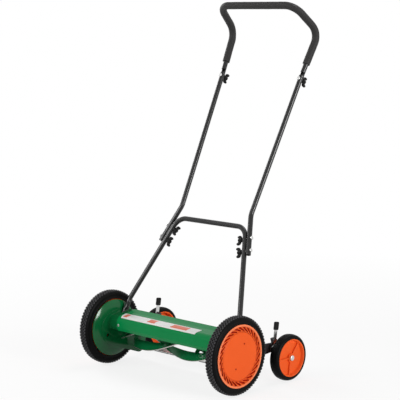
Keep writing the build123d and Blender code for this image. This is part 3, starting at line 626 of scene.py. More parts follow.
@dataclass
class MouldedTyre:
    """Tyre drawn outwards from its crown, in place of the plain CAD tyre.

    A section is a row of rings: each ring's share of the half width and its drop from the crown in metres.
    """

    node: str
    body: Body
    finish: Look
    section: Pairs = (
        (0.14, 0.0000),
        (0.17, 0.0012),
        (0.23, 0.0012),
        (0.26, 0.0002),
        (0.42, 0.0004),
        (0.45, 0.0016),
        (0.51, 0.0017),
        (0.54, 0.0008),
        (0.70, 0.0016),
        (0.86, 0.0036),
        (0.965, 0.0066),
        (0.998, 0.0092),
        (0.998, 0.0104),
        (0.965, 0.0109),
        (0.960, 0.0122),
        (0.990, 0.0127),
        (0.990, 0.0137),
        (0.940, 0.0142),
    )
    lip: Pairs = ()
    segments: int = 144
    band_half: float = 0.002
    rise: float = 0.0

    def rings(self, half: float, inboard: bool) -> list[tuple[float, float]]:
        """Rings of one sidewall, from the crown to the bead.

        Args:
            half: Half of the tyre's width.
            inboard: Whether the sidewall faces the frame, and so has the bead's lip.

        Returns:
            Each ring's distance from the middle and its drop from the crown.
        """
        made = [(half * share, drop) for share, drop in self.section]
        if inboard:
            made[-1:-1] = [(half + proud, drop) for proud, drop in self.lip]
        return made

    def carcass(self, middle: Vector, half: float, radius: float) -> Piece:
        """Draw the tyre's body outwards from its crown.

        Args:
            middle: The wheel's centre.
            half: Half of the tyre's width.
            radius: Radius of the crown under the blocks.

        Returns:
            The tyre's body.
        """
        start_clean()
        bpy.ops.mesh.primitive_cylinder_add(
            vertices=self.segments,
            radius=radius,
            depth=2 * self.band_half,
            end_fill_type="NOTHING",
            location=middle,
            rotation=ALONG_X,
        )
        piece = bpy.context.object
        settle(piece, self.node + "_tread")
        bpy.ops.object.mode_set(mode="EDIT")
        for way in (1.0, -1.0):
            edge = middle.x + way * self.band_half
            pick_vertices(piece, lambda vertex: abs(vertex.co.x - edge) < NEAR)
            at_x, at_r = self.band_half, radius
            for to_x, drop in self.rings(half, way * middle.x < 0):
                step = (way * (to_x - at_x), 0.0, 0.0)
                bpy.ops.mesh.extrude_edges_move(TRANSFORM_OT_translate={"value": step})
                grow = (radius - drop) / at_r
                bpy.ops.transform.resize(value=(1.0, grow, grow), center_override=middle)
                at_x, at_r = to_x, radius - drop
        bead = radius - self.section[-1][1]

        def on_bead(vertex: bmesh.types.BMVert) -> bool:
            """Tell whether a vertex lies on one of the two innermost rings."""
            return abs(math.hypot(vertex.co.y - middle.y, vertex.co.z - middle.z) - bead) < 2 * NEAR

        pick_vertices(piece, on_bead)
        bpy.ops.mesh.bridge_edge_loops()
        close_edit()
        apply_modifier(piece, "SUBSURF", levels=1, render_levels=1)
        return piece

    def detail(self, piece: Piece, middle: Vector, half: float, radius: float) -> None:
        """Add what a plain ribbed tyre lacks: nothing here."""

    def build(self) -> Piece:
        """Make the tyre and put it on its wheel.

        Returns:
            The finished tyre.
        """
        low, high = box_of(self.node)
        middle = (low + high) / 2
        half = (high.x - low.x) / 2
        radius = (high.z - low.z) / 2 - self.rise
        piece = self.carcass(middle, half, radius)
        piece.data.materials.append(self.finish)
        self.detail(piece, middle, half, radius)
        smooth(piece, 40.0)
        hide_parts(self.node)
        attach(piece, self.body.value)
        return piece


@dataclass
class TreadedTyre(MouldedTyre):
    """Front tyre: stepped sidewalls and rows of small tread blocks in a lighter rubber finish, which is dust
    and a painted highlight.
    """

    # Lighter finish of the tread blocks: dust, and a painted highlight for the light on the tread
    dust_and_highlight: Look | None = None
    section: Pairs = (
        (0.35, 0.0004),
        (0.62, 0.0013),
        (0.80, 0.0032),
        (0.93, 0.0064),
        (0.995, 0.0102),
        (0.995, 0.0130),
        (0.955, 0.0142),
        (0.940, 0.0180),
        (0.950, 0.0205),
        (0.985, 0.0216),
        (0.985, 0.0236),
        (0.930, 0.0244),
    )
    lip: Pairs = ((0.0006, 0.0224), (0.0006, 0.0266), (0.0001, 0.0266), (0.0001, 0.0246))
    rise: float = 0.0024
    block_count: int = 72
    block_rows: int = 5
    block_pitch: float = 0.0056
    block_length: float = 0.0068
    block_width: float = 0.0041
    block_root: float = 0.0010
    block_bevel: float = 0.0006
    block_spare: float = 0.0002
    crown_share: float = 0.62
    crown_drop: float = 0.0013

    def blocks(self, middle: Vector, half: float, radius: float) -> Piece:
        """Model one pitch of tread blocks and copy it round the wheel.

        Args:
            middle: The wheel's centre.
            half: Half of the tyre's width.
            radius: Radius of the crown under the blocks.

        Returns:
            All the blocks as one mesh.
        """
        start_clean()
        pitch = 2 * math.pi / self.block_count
        crown = self.crown_share * half
        height = self.rise + self.block_root - self.block_spare
        size = (self.block_width, self.block_length, height)
        for row in range(self.block_rows):
            across = (row - (self.block_rows - 1) / 2) * self.block_pitch
            drop = self.crown_drop * (across / crown) ** 2
            turn = pitch / 2 * (row % 2)
            out = radius - drop - self.block_root + height / 2
            place = middle + Vector((across, out * math.sin(turn), out * math.cos(turn)))
            tilt = math.atan2(2 * self.crown_drop * across, crown * crown)
            bpy.ops.mesh.primitive_cube_add(size=1.0, scale=size, location=place, rotation=(-turn, tilt, 0.0))
            if row == 0:
                settle(bpy.context.object, "tread_blocks")
                bpy.ops.object.mode_set(mode="EDIT")
        piece = bpy.context.object
        bpy.ops.mesh.select_all(action="SELECT")
        bpy.ops.mesh.bevel(offset=self.block_bevel, segments=1, affect="EDGES")
        copy_round(self.block_count, middle)
        close_edit()
        return piece

    def detail(self, piece: Piece, middle: Vector, half: float, radius: float) -> None:
        """Join the tread blocks to the tyre.

        Args:
            piece: The tyre's body.
            middle: The wheel's centre.
            half: Half of the tyre's width.
            radius: Radius of the crown under the blocks.
        """
        blocks = self.blocks(middle, half, radius)
        # The blocks wear the lighter finish: dust and a painted highlight
        blocks.data.materials.append(self.dust_and_highlight)
        select_only(blocks, piece)
        bpy.ops.object.join()


@dataclass
class VanedWheel:
    """Front wheel with its slots opened to leaf shapes, so that vanes stand between them.

    The slots' places follow the CAD wheel: a ring of slanted slots between the cap and the rim.
    """

    node: str
    body: Body
    finish: Look
    count: int = 30
    slant: float = math.radians(64.0)
    ring_in: float = 0.078
    face_inset: float = 0.0015
    length: float = 0.027
    outer_width: float = 0.0064
    inner_width: float = 0.0040
    depth: float = 0.0044
    clear: float = 0.0003
    weld: float = 0.000002

    def cutters(self, middle: Vector, face: float, way: float, ring: float) -> Piece:
        """Model one leaf and copy it round the wheel.

        Args:
            middle: The wheel's centre.
            face: X of the slotted face.
            way: Sign of the outward direction.
            ring: Radius of the leaves' middles.

        Returns:
            All the leaves as one mesh.
        """
        start_clean()
        bpy.ops.mesh.primitive_cube_add(size=2.0)
        piece = bpy.context.object
        settle(piece, "leaf_cutters")
        for vertex in piece.data.vertices:
            out, along, over = vertex.co
            width = self.outer_width if along > 0 else self.inner_width
            u, v = along * self.length / 2, over * width / 2
            x = face + way * (self.clear if out > 0 else -self.depth)
            y = ring + u * math.cos(self.slant) - v * math.sin(self.slant)
            z = u * math.sin(self.slant) + v * math.cos(self.slant)
            vertex.co = (x, middle.y + y, middle.z + z)
        bpy.ops.object.mode_set(mode="EDIT")
        copy_round(self.count, middle)
        close_edit()
        return piece

    def build(self) -> Piece:
        """Cut the leaves out of a copy of the wheel and put it on its body.

        Returns:
            The finished wheel.
        """
        low, high = box_of(self.node)
        middle = (low + high) / 2
        way = 1.0 if middle.x > 0 else -1.0
        face = (high.x if way > 0 else low.x) - way * self.face_inset
        rim = (high.z - low.z) / 2 - RIM_RING
        leaves = self.cutters(middle, face, way, (self.ring_in + rim) / 2)
        start_clean()
        bpy.ops.mesh.primitive_cube_add(size=1.0)
        piece = bpy.context.object
        piece.data = frame["nodes"][self.node].data.copy()
        settle(piece, self.node + "_vanes")
        edit_all()
        bpy.ops.mesh.remove_doubles(threshold=self.weld)
        bpy.ops.object.mode_set(mode="OBJECT")
        apply_modifier(piece, "BOOLEAN", operation="DIFFERENCE", solver="EXACT", object=leaves)
        start_clean()
        leaves.select_set(True)
        bpy.ops.object.delete()
        piece.data.materials.clear()
        piece.data.materials.append(self.finish)
        smooth(piece, 30.0)
        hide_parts(self.node)
        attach(piece, self.body.value)
        return piece


@dataclass
class BracketRivets:
    """Two domed rivets that hold a rear bracket to its side plate.

    The spots are behind the axle and above the floor. The dome is a row of rings: height and radius shares.
    """

    side: str
    finish: Look
    axle_y: float
    spots: Pairs = ((0.122, 0.119), (0.142, 0.105))
    head_r: float = 0.0058
    head: float = 0.0030
    shank_r: float = 0.0030
    lobe: float = 0.0040
    sides: int = 28
    dome: Pairs = ((0.35, 1.0), (0.75, 0.82), (1.0, 0.45))

    def raise_head(self, piece: Piece, centre: Vector, out: float) -> None:
        """In edit mode, draw a domed head out of one end of the shank.

        Args:
            piece: The rivet.
            centre: Middle of that end.
            out: Sign of the outward direction.
        """
        pick_vertices(piece, lambda vertex: abs(vertex.co.x - centre.x) < NEAR)
        bpy.ops.mesh.extrude_region()
        grow = self.head_r / self.shank_r
        bpy.ops.transform.resize(value=(1.0, grow, grow), center_override=centre)
        for rise, share in self.dome:
            bpy.ops.mesh.extrude_region()
            at = [vertex.co.copy() for vertex in bmesh.from_edit_mesh(piece.data).verts if vertex.select]
            step = centre.x + out * self.head * rise - at[0].x
            bpy.ops.transform.translate(value=(step, 0.0, 0.0))
            now = max(math.hypot(co.y - centre.y, co.z - centre.z) for co in at)
            shrink = self.head_r * share / now
            bpy.ops.transform.resize(value=(1.0, shrink, shrink), center_override=centre)

    def build(self) -> Piece:
        """Model one rivet with a head on each face, then copy it.

        Returns:
            Both rivets of the side as one piece.
        """
        low, high = box_of(self.side + "_rear_bracket")
        way = 1.0 if low.x > 0 else -1.0
        outer = high.x if way > 0 else low.x
        inner = (low.x if way > 0 else high.x) - way * self.lobe
        (behind, above), (next_behind, next_above) = self.spots
        start_clean()
        bpy.ops.mesh.primitive_cylinder_add(
            vertices=self.sides,
            radius=self.shank_r,
            depth=abs(outer - inner),
            end_fill_type="NGON",
            location=((outer + inner) / 2, self.axle_y + behind, above),
            rotation=ALONG_X,
        )
        piece = bpy.context.object
        settle(piece, self.side + "_bracket_rivets")
        bpy.ops.object.mode_set(mode="EDIT")
        for face_x, out in ((outer, way), (inner, -way)):
            self.raise_head(piece, Vector((face_x, self.axle_y + behind, above)), out)
        bpy.ops.mesh.select_all(action="SELECT")
        bpy.ops.mesh.normals_make_consistent(inside=False)
        bpy.ops.mesh.duplicate()
        bpy.ops.transform.translate(value=(0.0, next_behind - behind, next_above - above))
        bpy.ops.object.mode_set(mode="OBJECT")
        smooth(piece, 50.0)
        piece.data.materials.append(self.finish)
        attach(piece, Body.FRAME.value)
        return piece


@dataclass
class WingKnobs:
    """Moulded wing knobs, modelled once and copied to every handle bolt."""

    finish: Look
    stems: tuple[str, ...] = (
        "left_lower",
        "left_upper",
        "left_top",
        "right_lower",
        "right_upper",
        "right_top",
    )
    half_outline: Pairs = (
        (0.0055, 0.0050),
        (0.0115, 0.0060),
        (0.0158, 0.0088),
        (0.0174, 0.0135),
        (0.0170, 0.0192),
        (0.0142, 0.0226),
        (0.0106, 0.0220),
        (0.0080, 0.0178),
        (0.0045, 0.0156),
    )
    thick: float = 0.0066
    wing_edge: float = 0.0017
    hub_r: float = 0.0078
    hub_top: float = 0.82
    hub_length: float = 0.0168
    hub_edge: float = 0.0012
    hub_sides: int = 36

    def wings(self) -> Piece:
        """Draw both wings flat, give them thickness and round their edges.

        Returns:
            The wings, standing on the origin along Z.
        """
        points = list(self.half_outline) + [(-u, v) for u, v in reversed(self.half_outline)]
        start_clean()
        bpy.ops.mesh.primitive_circle_add(vertices=len(points), radius=self.hub_r, fill_type="NGON")
        piece = bpy.context.object
        for vertex, (u, v) in zip(piece.data.vertices, points):
            vertex.co = (u, -self.thick / 2, v)
        edit_all()
        bpy.ops.mesh.extrude_region_move(TRANSFORM_OT_translate={"value": (0.0, self.thick, 0.0)})
        close_edit()
        round_edges(piece, self.wing_edge)
        return piece

    def hub(self) -> Piece:
        """Turn the hub: a cone with rounded ends.

        Returns:
            The hub, standing on the origin along Z.
        """
        start_clean()
        middle = (0.0, 0.0, self.hub_length / 2)
        bpy.ops.mesh.primitive_cylinder_add(
            vertices=self.hub_sides, radius=self.hub_r, depth=self.hub_length, location=middle
        )
        piece = bpy.context.object
        settle(piece, "knob_hub")
        bpy.ops.object.mode_set(mode="EDIT")
        pick_vertices(piece, lambda vertex: vertex.co.z > self.hub_length / 2)
        top = (0.0, 0.0, self.hub_length)
        bpy.ops.transform.resize(value=(self.hub_top, self.hub_top, 1.0), center_override=top)
        bpy.ops.object.mode_set(mode="OBJECT")
        round_edges(piece, self.hub_edge)
        return piece

    def seat(self, stem: str) -> Matrix:
        """Find where a knob stands: its foot, its bolt's direction and its wings' direction.

        Args:
            stem: First words of the knob's names.

        Returns:
            The knob's place.
        """
        joints = frame["record"]["behaviour"]["joints"]
        joint = next(row for row in joints if row["name"] == stem + "_knob_turn")
        foot, axis = Vector(joint["pos_m"]), Vector(joint["axis"]).normalized()
        spots = [vertex.co - foot for vertex in frame["nodes"][stem + "_knob"].data.vertices]
        middle = sum(spots, Vector()) / len(spots)
        if middle.dot(axis) < 0:
            axis = -axis
        low = min(spot.dot(axis) for spot in spots)
        flat = [spot - axis * spot.dot(axis) for spot in spots]
        along = max(flat, key=lambda spot: spot.length).normalized()
        placed = Matrix((along, axis.cross(along), axis)).transposed().to_4x4()
        placed.translation = foot + axis * low
        return placed

    def build(self) -> list[Piece]:
        """Make the knob and copy it to its six bolts.

        Returns:
            The six knobs.
        """
        wings, hub = self.wings(), self.hub()
        select_only(hub, wings)
        bpy.ops.object.join()
        smooth(wings, 40.0)
        wings.data.materials.append(self.finish)
        made: list[Piece] = []
        for place, stem in enumerate(self.stems):
            piece = wings
            if place < len(self.stems) - 1:
                select_only(wings)
                bpy.ops.object.duplicate(linked=False)
                piece = bpy.context.object
            select_only(piece)
            piece.matrix_world = self.seat(stem)
            settle(piece, stem + "_wing_knob")
            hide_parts(stem + "_knob")
            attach(piece, stem + "_wing")
            made.append(piece)
        return made


@dataclass
class FoamGrip:
    """Soft grip: one foam sleeve pushed round the whole upper loop."""

    finish: Look
    swing: Triple
    lean: float = math.radians(27.35)
    bolt_along: float = 0.908
    bolt_x: float = 0.179
    foot_along: float = 0.9626
    knee_along: float = 1.080
    knee_x: float = 0.1918
    knee_bend: float = 0.050
    loop_lean: float = math.radians(47.0)
    loop_rise: float = 0.134
    loop_x: float = 0.1692
    loop_bend: float = 0.050
    straight_pull: float = 0.01
    radius: float = 0.0132
    bore: float = 0.0088
    crumple: float = 0.0005
    lump_size: float = 0.03
    end_edge: float = 0.0010
    weld: float = 0.000005
    bend_steps: int = 18
    round_steps: int = 6

    def on_handle(self, x: float, along: float) -> Vector:
        """Point on the leaning plane of the handle: across, and up the lean from the swing axis."""
        up = Vector((x, along * math.sin(self.lean), along * math.cos(self.lean)))
        return Vector(self.swing) + up

    def corners(self) -> list[Vector]:
        """Corners of the sleeve's centre line, from one foot to the other.

        Returns:
            The six corners.
        """
        bolt = self.on_handle(self.bolt_x, self.bolt_along)
        knee = self.on_handle(self.knee_x, self.knee_along)
        share = (self.foot_along - self.bolt_along) / (self.knee_along - self.bolt_along)
        foot = bolt.lerp(knee, share)
        rise = Vector((0.0, -math.sin(self.loop_lean), math.cos(self.loop_lean))) * self.loop_rise
        corner = Vector((self.loop_x, knee.y, knee.z)) + rise
        half = [foot, knee, corner]
        return half + [Vector((-point.x, point.y, point.z)) for point in reversed(half)]

    def centre_line(self) -> Piece:
        """Draw the centre line as one Bezier curve with a round bevel.

        Returns:
            The curve.
        """
        points = self.corners()
        knots: list[tuple[Vector, Vector, Vector]] = [(points[0], points[0], points[0])]
        bends = (self.knee_bend, self.loop_bend, self.loop_bend, self.knee_bend)
        for before, corner, after, bend in zip(points, points[1:], points[2:], bends):
            back = (before - corner).normalized()
            on = (after - corner).normalized()
            half = back.angle(on) / 2
            run = bend / math.tan(half)
            pull = 4 / 3 * math.tan((math.pi - 2 * half) / 4) * bend
            first, second = corner + back * run, corner + on * run
            knots.append((first, first + back * self.straight_pull, first - back * pull))
            knots.append((second, second - on * pull, second + on * self.straight_pull))
        knots.append((points[-1], points[-1], points[-1]))
        start_clean()
        bpy.ops.curve.primitive_bezier_curve_add()
        line = bpy.context.object
        spline = line.data.splines[0]
        spline.bezier_points.add(len(knots) - 2)
        for place, (point, left, right) in zip(spline.bezier_points, knots):
            place.handle_left_type = place.handle_right_type = "FREE"
            place.co, place.handle_left, place.handle_right = point, left, right
        line.data.resolution_u = self.bend_steps
        line.data.bevel_depth = self.radius - self.crumple
        line.data.bevel_resolution = self.round_steps
        return line

    def build(self) -> Piece:
        """Make the sleeve and put it on the handle.

        Returns:
            The finished grip.
        """
        self.centre_line()
        bpy.ops.object.convert(target="MESH")
        piece = bpy.context.object
        settle(piece, "foam_grip")
        lumps = bpy.data.textures.new("foam_lumps", "CLOUDS")
        lumps.noise_scale = self.lump_size
        apply_modifier(piece, "SUBSURF", levels=1, render_levels=1, subdivision_type="SIMPLE")
        apply_modifier(piece, "DISPLACE", texture=lumps, strength=2 * self.crumple, texture_coords="OBJECT")
        apply_modifier(piece, "SOLIDIFY", thickness=self.radius - self.bore, offset=-1.0)
        round_edges(piece, self.end_edge)
        edit_all()
        bpy.ops.mesh.dissolve_degenerate(threshold=self.weld)
        bpy.ops.object.mode_set(mode="OBJECT")
        smooth(piece, 40.0)
        piece.data.materials.append(self.finish)
        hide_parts("grip")
        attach(piece, Body.HANDLE.value)
        return piece


@dataclass
class ShoulderStripe:
    """Plain printed stripe on the deck's shoulder: white film with orange blocks.

    The ends' X are at its lower and upper edge, and the block spans are X. The flat film starts at a Y from
    the axle, and the slope tips it before it is laid on the deck.
    """

    film: Look
    blocks: Look
    axle_y: float
    left: tuple[float, float] = (-0.2088, -0.2205)
    right: tuple[float, float] = (0.1377, 0.1400)
    from_axle: float = -0.100
    low: float = 0.1987
    high: float = 0.2182
    slope: Triple = (0.0, 0.948, -0.318)
    tip: float = 0.318
    block_spans: Pairs = ((-0.206, -0.188), (-0.0895, -0.0560), (0.0190, 0.0930))
    block_low: float = 0.25
    block_high: float = 0.95
    columns: int = 140
    rows: int = 10
    proud: float = 0.0003
    thick: float = 0.00015

    def lay_flat(self, piece: Piece) -> None:
        """Bring a square grid to the stripe's outline in front of the deck.

        Args:
            piece: The grid, two units wide.
        """
        slope = Vector(self.slope)
        middle = (self.low + self.high) / 2
        for vertex in piece.data.vertices:
            along, up = (vertex.co.x + 1) / 2, (vertex.co.y + 1) / 2
            start = self.left[0] + (self.left[1] - self.left[0]) * up
            end = self.right[0] + (self.right[1] - self.right[0]) * up
            height = self.low + (self.high - self.low) * up
            vertex.co = (start + (end - start) * along, self.from_axle + self.axle_y, height)
            vertex.co += slope * ((vertex.co.z - middle) * self.tip)

    def build(self) -> Piece:
        """Lay the film over the deck.

        Returns:
            The finished stripe.
        """
        start_clean()
        bpy.ops.mesh.primitive_grid_add(x_subdivisions=self.columns, y_subdivisions=self.rows, size=2.0)
        piece = bpy.context.object
        settle(piece, "deck_stripe")
        self.lay_flat(piece)
        apply_modifier(
            piece,
            "SHRINKWRAP",
            target=frame["nodes"]["deck"],
            wrap_method="PROJECT",
            use_negative_direction=True,
            use_positive_direction=True,
            offset=self.proud,
        )
        piece.data.materials.append(self.film)
        piece.data.materials.append(self.blocks)
        for face in piece.data.polygons:
            row = (face.index // self.columns + 0.5) / self.rows
            inside = self.block_low < row < self.block_high
            in_span = any(start < face.center.x < end for start, end in self.block_spans)
            face.material_index = int(inside and in_span)
        apply_modifier(piece, "SOLIDIFY", thickness=self.thick, offset=1.0)
        smooth(piece, 30.0)
        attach(piece, Body.FRAME.value)
        return piece


# Studio


@dataclass(frozen=True)
class Lamp:
    """A soft lamp: its name, its place, its width and height, and its watts."""

    name: str
    place: Triple
    size: tuple[float, float]
    power: float

    def build(self, target: Triple) -> None:
        """Hang the lamp.

        Args:
            target: The point it faces.
        """
        bpy.ops.object.light_add(type="AREA", location=self.place)
        lamp = bpy.context.object
        lamp.name = self.name
        lamp.data.shape = "RECTANGLE"
        lamp.data.size, lamp.data.size_y = self.size
        lamp.data.energy = self.power
        lamp.rotation_euler = (Vector(target) - Vector(self.place)).to_track_quat("-Z", "Y").to_euler()


@dataclass
class Studio:
    """White sweep, soft lamps and the photograph's camera."""

    axle_y: float
    camera_place: Triple = (3.1772, -3.1110, 1.2314)
    azimuth: float = math.radians(44.289)
    elevation: float = math.radians(8.199)
    roll: float = math.radians(-0.462)
    lens: float = 125.07
    sensor: float = 36.0
    clip: float = 60.0
    ambient: float = 0.16
    floor_tone: float = 0.9
    floor_roughness: float = 0.9
    floor_size: float = 40.0
    floor_drop: float = 0.0004
    floor_share: float = 0.82
    floor_fade: tuple[float, float] = (0.7, 2.2)
    target: Triple = (0.0, -0.1, 0.35)
    lamps: tuple[Lamp, ...] = (
        Lamp("key", (-0.9, -3.6, 2.4), (3.4, 0.8), 92.0),
        Lamp("side", (8.0, 0.5, 2.15), (1.9, 2.3), 375.0),
        Lamp("top", (0.4, 1.2, 3.4), (1.8, 1.8), 34.0),
        Lamp("fill", (-3.6, 0.3, 1.7), (1.4, 1.4), 42.0),
    )

    def camera(self) -> None:
        """Set the camera up."""
        level = math.cos(self.elevation)
        east, north = math.sin(self.azimuth), math.cos(self.azimuth)
        view = Vector((-east * level, north * level, -math.sin(self.elevation)))
        right = Vector((north, east, 0.0))
        up = right.cross(view)
        across = right * math.cos(self.roll) + up * math.sin(self.roll)
        over = up * math.cos(self.roll) - right * math.sin(self.roll)
        bpy.ops.object.camera_add()
        camera = bpy.context.object
        placed = Matrix((across, over, -view)).transposed().to_4x4()
        placed.translation = Vector(self.camera_place) + Vector((0.0, self.axle_y, 0.0))
        camera.matrix_world = placed
        camera.data.lens = self.lens
        camera.data.sensor_width = self.sensor
        camera.data.clip_end = self.clip
        bpy.context.scene.camera = camera

    @staticmethod
    def seen(graph: Graph) -> Socket:
        """Mask of the rays that show the white room: from the camera, a reflection or glass.

        Args:
            graph: The graph of the world or the floor.

        Returns:
            The mask socket.
        """
        path = graph.node("ShaderNodeLightPath").outputs
        mirrored = graph.math("MAXIMUM", path["Is Glossy Ray"], path["Is Transmission Ray"])
        return graph.math("MAXIMUM", path["Is Camera Ray"], mirrored)

    def world(self) -> None:
        """White surroundings for the camera and for reflections, and an even fill for the rest."""
        sky = bpy.data.worlds.new("white_room")
        bpy.context.scene.world = sky
        sky.use_nodes = True
        graph = Graph(sky.node_tree)
        back = sky.node_tree.nodes["Background"]
        back.inputs["Color"].default_value = (1.0, 1.0, 1.0, 1.0)
        graph.feed(back.inputs["Strength"], graph.remap(self.seen(graph), 0.0, 1.0, self.ambient))

    def floor(self) -> None:
        """Pale floor that shows white to the camera and keeps a soft shadow."""
        start_clean()
        bpy.ops.mesh.primitive_plane_add(size=self.floor_size, location=(0.0, 0.0, -self.floor_drop))
        ground = bpy.context.object
        settle(ground, "floor")
        made = bpy.data.materials.new("pale_floor")
        made.use_nodes = True
        graph = Graph(made.node_tree)
        shader = made.node_tree.nodes["Principled BSDF"]
        shader.inputs["Base Color"].default_value = (*(self.floor_tone,) * 3, 1.0)
        shader.inputs["Roughness"].default_value = self.floor_roughness
        glow = graph.node("ShaderNodeEmission", Color=(1.0, 1.0, 1.0, 1.0), Strength=1.0)
        away = graph.node("ShaderNodeVectorMath", {"operation": "LENGTH"})
        graph.feed(away.inputs[0], graph.place())
        far = graph.remap(away.outputs["Value"], *self.floor_fade, self.floor_share)
        blend = graph.node("ShaderNodeMixShader", Fac=graph.math("MULTIPLY", self.seen(graph), far))
        graph.feed(blend.inputs[1], shader.outputs[0])
        graph.feed(blend.inputs[2], glow.outputs[0])
        out = made.node_tree.nodes["Material Output"]
        graph.feed(out.inputs["Surface"], blend.outputs[0])
        ground.data.materials.append(made)

    def build(self) -> None:
        """Put up the whole studio."""
        bpy.context.scene.view_settings.view_transform = "Standard"
        self.world()
        self.floor()
        for lamp in self.lamps:
            lamp.build(self.target)
        self.camera()


# Recipes: first the values that several of them share

ORANGE = {
    "colour": (0.84, 0.112, 0.018),
    "deep": (0.76, 0.090, 0.012),
    "rubbed": (0.90, 0.24, 0.10),
    "roughness": 0.36,
    "specular": 0.08,
    "grain_scale": 900.0,
    "grain_depth": 0.00004,
    "mottle": 0.35,
}
GLOSS = {"grain_scale": 260.0, "grain_depth": 0.00004, "mottle": 0.5}
PRINT = {"roughness": 0.3, "wear": 0.1}
# Cap dimples: depth below the face and radius span that get the painted shade
CAP_RECESS = {"depth": (0.0008, 0.0024), "ring": (0.0, 0.06)}


def finishes(effects: Effects) -> dict[Slot, Look]:
    """Make the finish of every slot.

    Args:
        effects: The shared groups.

    Returns:
        The materials by slot.
    """
    low, high = box_of("reel_shaft")
    reel = (low + high) / 2
    recipes: dict[Slot, Finish] = {
        Slot.GREEN_PAINT: Finish(
            "green_gloss_paint",
            (0.003, 0.240, 0.066),
            (0.002, 0.200, 0.052),
            (0.08, 0.30, 0.16),
            roughness=0.2,
            specular=0.08,
            **GLOSS,
        ),
        Slot.BLADE_GREEN: BladePaint(
            "reel_green_paint",
            (0.004, 0.150, 0.045),
            (0.003, 0.110, 0.033),
            (0.18, 0.24, 0.19),
            roughness=0.3,
            specular=0.08,
            grain_scale=300.0,
            centre_y=reel.y,
            centre_z=reel.z,
        ),
        Slot.BLACK_PAINT: Finish(
            "black_tube_paint",
            (0.0065, 0.0065, 0.0065),
            (0.005, 0.005, 0.005),
            (0.06, 0.06, 0.06),
            roughness=0.25,
            spread=0.03,
            specular=0.40,
            grain_scale=500.0,
            grain_depth=0.000004,
            wear=0.0,
            edge_radius=0.00005,
        ),
        Slot.DARK_STEEL: Finish(
            "dark_bracket_steel",
            (0.020, 0.020, 0.022),
            (0.012, 0.012, 0.013),
            (0.20, 0.20, 0.20),
            roughness=0.42,
            specular=0.25,
            wear=0.5,
        ),
        Slot.BRIGHT_STEEL: BrushedSteel(
            "bright_zinc_steel",
            (0.62, 0.62, 0.61),
            (0.50, 0.50, 0.50),
            (0.78, 0.78, 0.78),
            roughness=0.28,
            metallic=1.0,
            grain_scale=1500.0,
            grain_depth=0.00002,
        ),
        Slot.ORANGE_PLASTIC: Finish("orange_moulding", **ORANGE),
        Slot.TYRE_RUBBER: Finish(
            "tyre_rubber",
            (0.0035, 0.0035, 0.0035),
            (0.006, 0.006, 0.006),
            (0.03, 0.03, 0.03),
            roughness=0.4,
            spread=0.2,
            specular=0.045,
            grain_scale=1400.0,
            grain_depth=0.00012,
            mottle_scale=30.0,
        ),
        Slot.BLACK_PLASTIC: Finish(
            "black_moulding",
            (0.006, 0.006, 0.006),
            (0.009, 0.009, 0.009),
            (0.04, 0.04, 0.04),
            roughness=0.45,
            specular=0.1,
            grain_scale=1100.0,
            grain_depth=0.00008,
        ),
        Slot.FOAM: CellFoam(
            "charcoal_foam",
            (0.026, 0.025, 0.025),
            (0.018, 0.017, 0.017),
            (0.035, 0.034, 0.034),
            roughness=0.6,
            grain_scale=1200.0,
            grain_depth=0.00025,
            mottle_scale=40.0,
            wear=0.2,
            specular=0.22,
        ),
    }
    return {slot: recipe.build(effects) for slot, recipe in recipes.items()}


def special_finishes(effects: Effects) -> dict[str, Look]:
    """Make the finishes of single nodes: side plates, front wheels and wheel caps, all with painted shade,
    the front wheels also with a painted highlight.

    Args:
        effects: The shared groups.

    Returns:
        The materials by node.
    """
    # Side plates: the deck's green paint darkened as painted shade, for the far plate that sits in the shade
    # of the deck and the wheel
    plate = Finish(
        "shade_darkened_plate_paint",
        (0.002, 0.112, 0.030),
        (0.001, 0.088, 0.023),
        (0.06, 0.20, 0.11),
        roughness=0.15,
        specular=0.26,
        **GLOSS,
    ).build(effects)
    made = {"left_side_plate": plate, "right_side_plate": plate}
    # Front wheels and caps: painted shade in the recesses, and on the front wheels a painted highlight on the
    # rim ring
    for node, recess in (("front_wheel", {}), ("wheel_cap", CAP_RECESS)):
        low, high = box_of("left_" + node)
        look = RecessedMoulding(
            "orange_" + node,
            **ORANGE,
            centre_y=(low.y + high.y) / 2,
            centre_z=(low.z + high.z) / 2,
            face_x=high.x,
            # Radius out from which the front wheel's rim ring gets the painted highlight; caps get none
            painted_highlight_r=(high.z - low.z) / 2 - RIM_RING if node == "front_wheel" else NO_RIM,
            **recess,
        ).build(effects)
        made["left_" + node] = made["right_" + node] = look
    return made


def dress_nodes(looks: dict[Slot, Look], special: dict[str, Look]) -> None:
    """Give every CAD node the finish of its slot, or its own.

    Args:
        looks: The materials by slot.
        special: The materials of single nodes.
    """
    for part in frame["record"]["subparts"]:
        node = frame["nodes"][part["node"]]
        finish = special.get(part["node"], looks[Slot(part["material_slot"])])
        if not node.material_slots:
            node.data.materials.append(finish)
        for place in node.material_slots:
            place.material = finish
        log.info("%s wears %s", part["node"], finish.name)


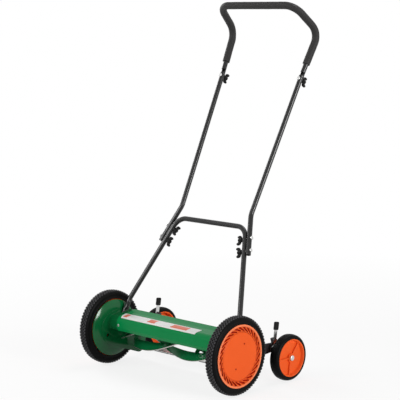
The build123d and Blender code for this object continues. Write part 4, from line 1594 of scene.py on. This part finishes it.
def build_pieces(
    effects: Effects, looks: dict[Slot, Look], special: dict[str, Look], axle_y: float
) -> list[Piece]:
    """Model every new piece.

    Args:
        effects: The shared groups.
        looks: The materials by slot.
        special: The materials of single nodes.
        axle_y: Y of the front axles.

    Returns:
        The pieces.
    """
    film = Finish("white_film", (0.80, 0.80, 0.78), (0.72, 0.72, 0.70), (0.6, 0.6, 0.6), **PRINT)
    ink = Finish("orange_ink", (0.72, 0.12, 0.04), (0.62, 0.10, 0.04), (0.8, 0.5, 0.4), **PRINT)
    # Tread blocks: rubber lightened for dust and as a painted highlight on the tread
    dust_and_highlight = Finish(
        "dust_and_highlight_tread",
        (0.050, 0.049, 0.052),
        (0.032, 0.031, 0.033),
        (0.13, 0.13, 0.135),
        roughness=0.8,
        wear=0.8,
        specular=0.2,
    )
    film_look, ink_look, dust_and_highlight_look = (recipe.build(effects) for recipe in (film, ink, dust_and_highlight))
    rubber, steel = looks[Slot.TYRE_RUBBER], looks[Slot.BRIGHT_STEEL]
    swing = (0.0, axle_y + SWING_BEHIND_AXLE, SWING_HEIGHT)
    return [
        TreadedTyre("left_front_tyre", Body.LEFT_WHEEL, rubber, dust_and_highlight=dust_and_highlight_look).build(),
        TreadedTyre("right_front_tyre", Body.RIGHT_WHEEL, rubber, dust_and_highlight=dust_and_highlight_look).build(),
        VanedWheel("left_front_wheel", Body.LEFT_WHEEL, special["left_front_wheel"]).build(),
        VanedWheel("right_front_wheel", Body.RIGHT_WHEEL, special["right_front_wheel"]).build(),
        MouldedTyre("left_rear_tyre", Body.LEFT_REAR, rubber).build(),
        MouldedTyre("right_rear_tyre", Body.RIGHT_REAR, rubber).build(),
        BracketRivets("left", steel, axle_y).build(),
        BracketRivets("right", steel, axle_y).build(),
        FoamGrip(looks[Slot.FOAM], swing).build(),
        ShoulderStripe(film_look, ink_look, axle_y).build(),
        *WingKnobs(looks[Slot.BLACK_PLASTIC]).build(),
    ]


def main() -> None:
    """Build the finishes, the pieces and the studio in order."""
    logging.basicConfig(level=logging.INFO)
    effects = Effects()
    looks = finishes(effects)
    special = special_finishes(effects)
    dress_nodes(looks, special)
    low, high = box_of("left_front_axle")
    axle_y = (low.y + high.y) / 2
    for piece in build_pieces(effects, looks, special, axle_y):
        log.info("%s: %d faces", piece.name, len(piece.data.polygons))
    Studio(axle_y).build()


if __name__ == "__main__":
    main()
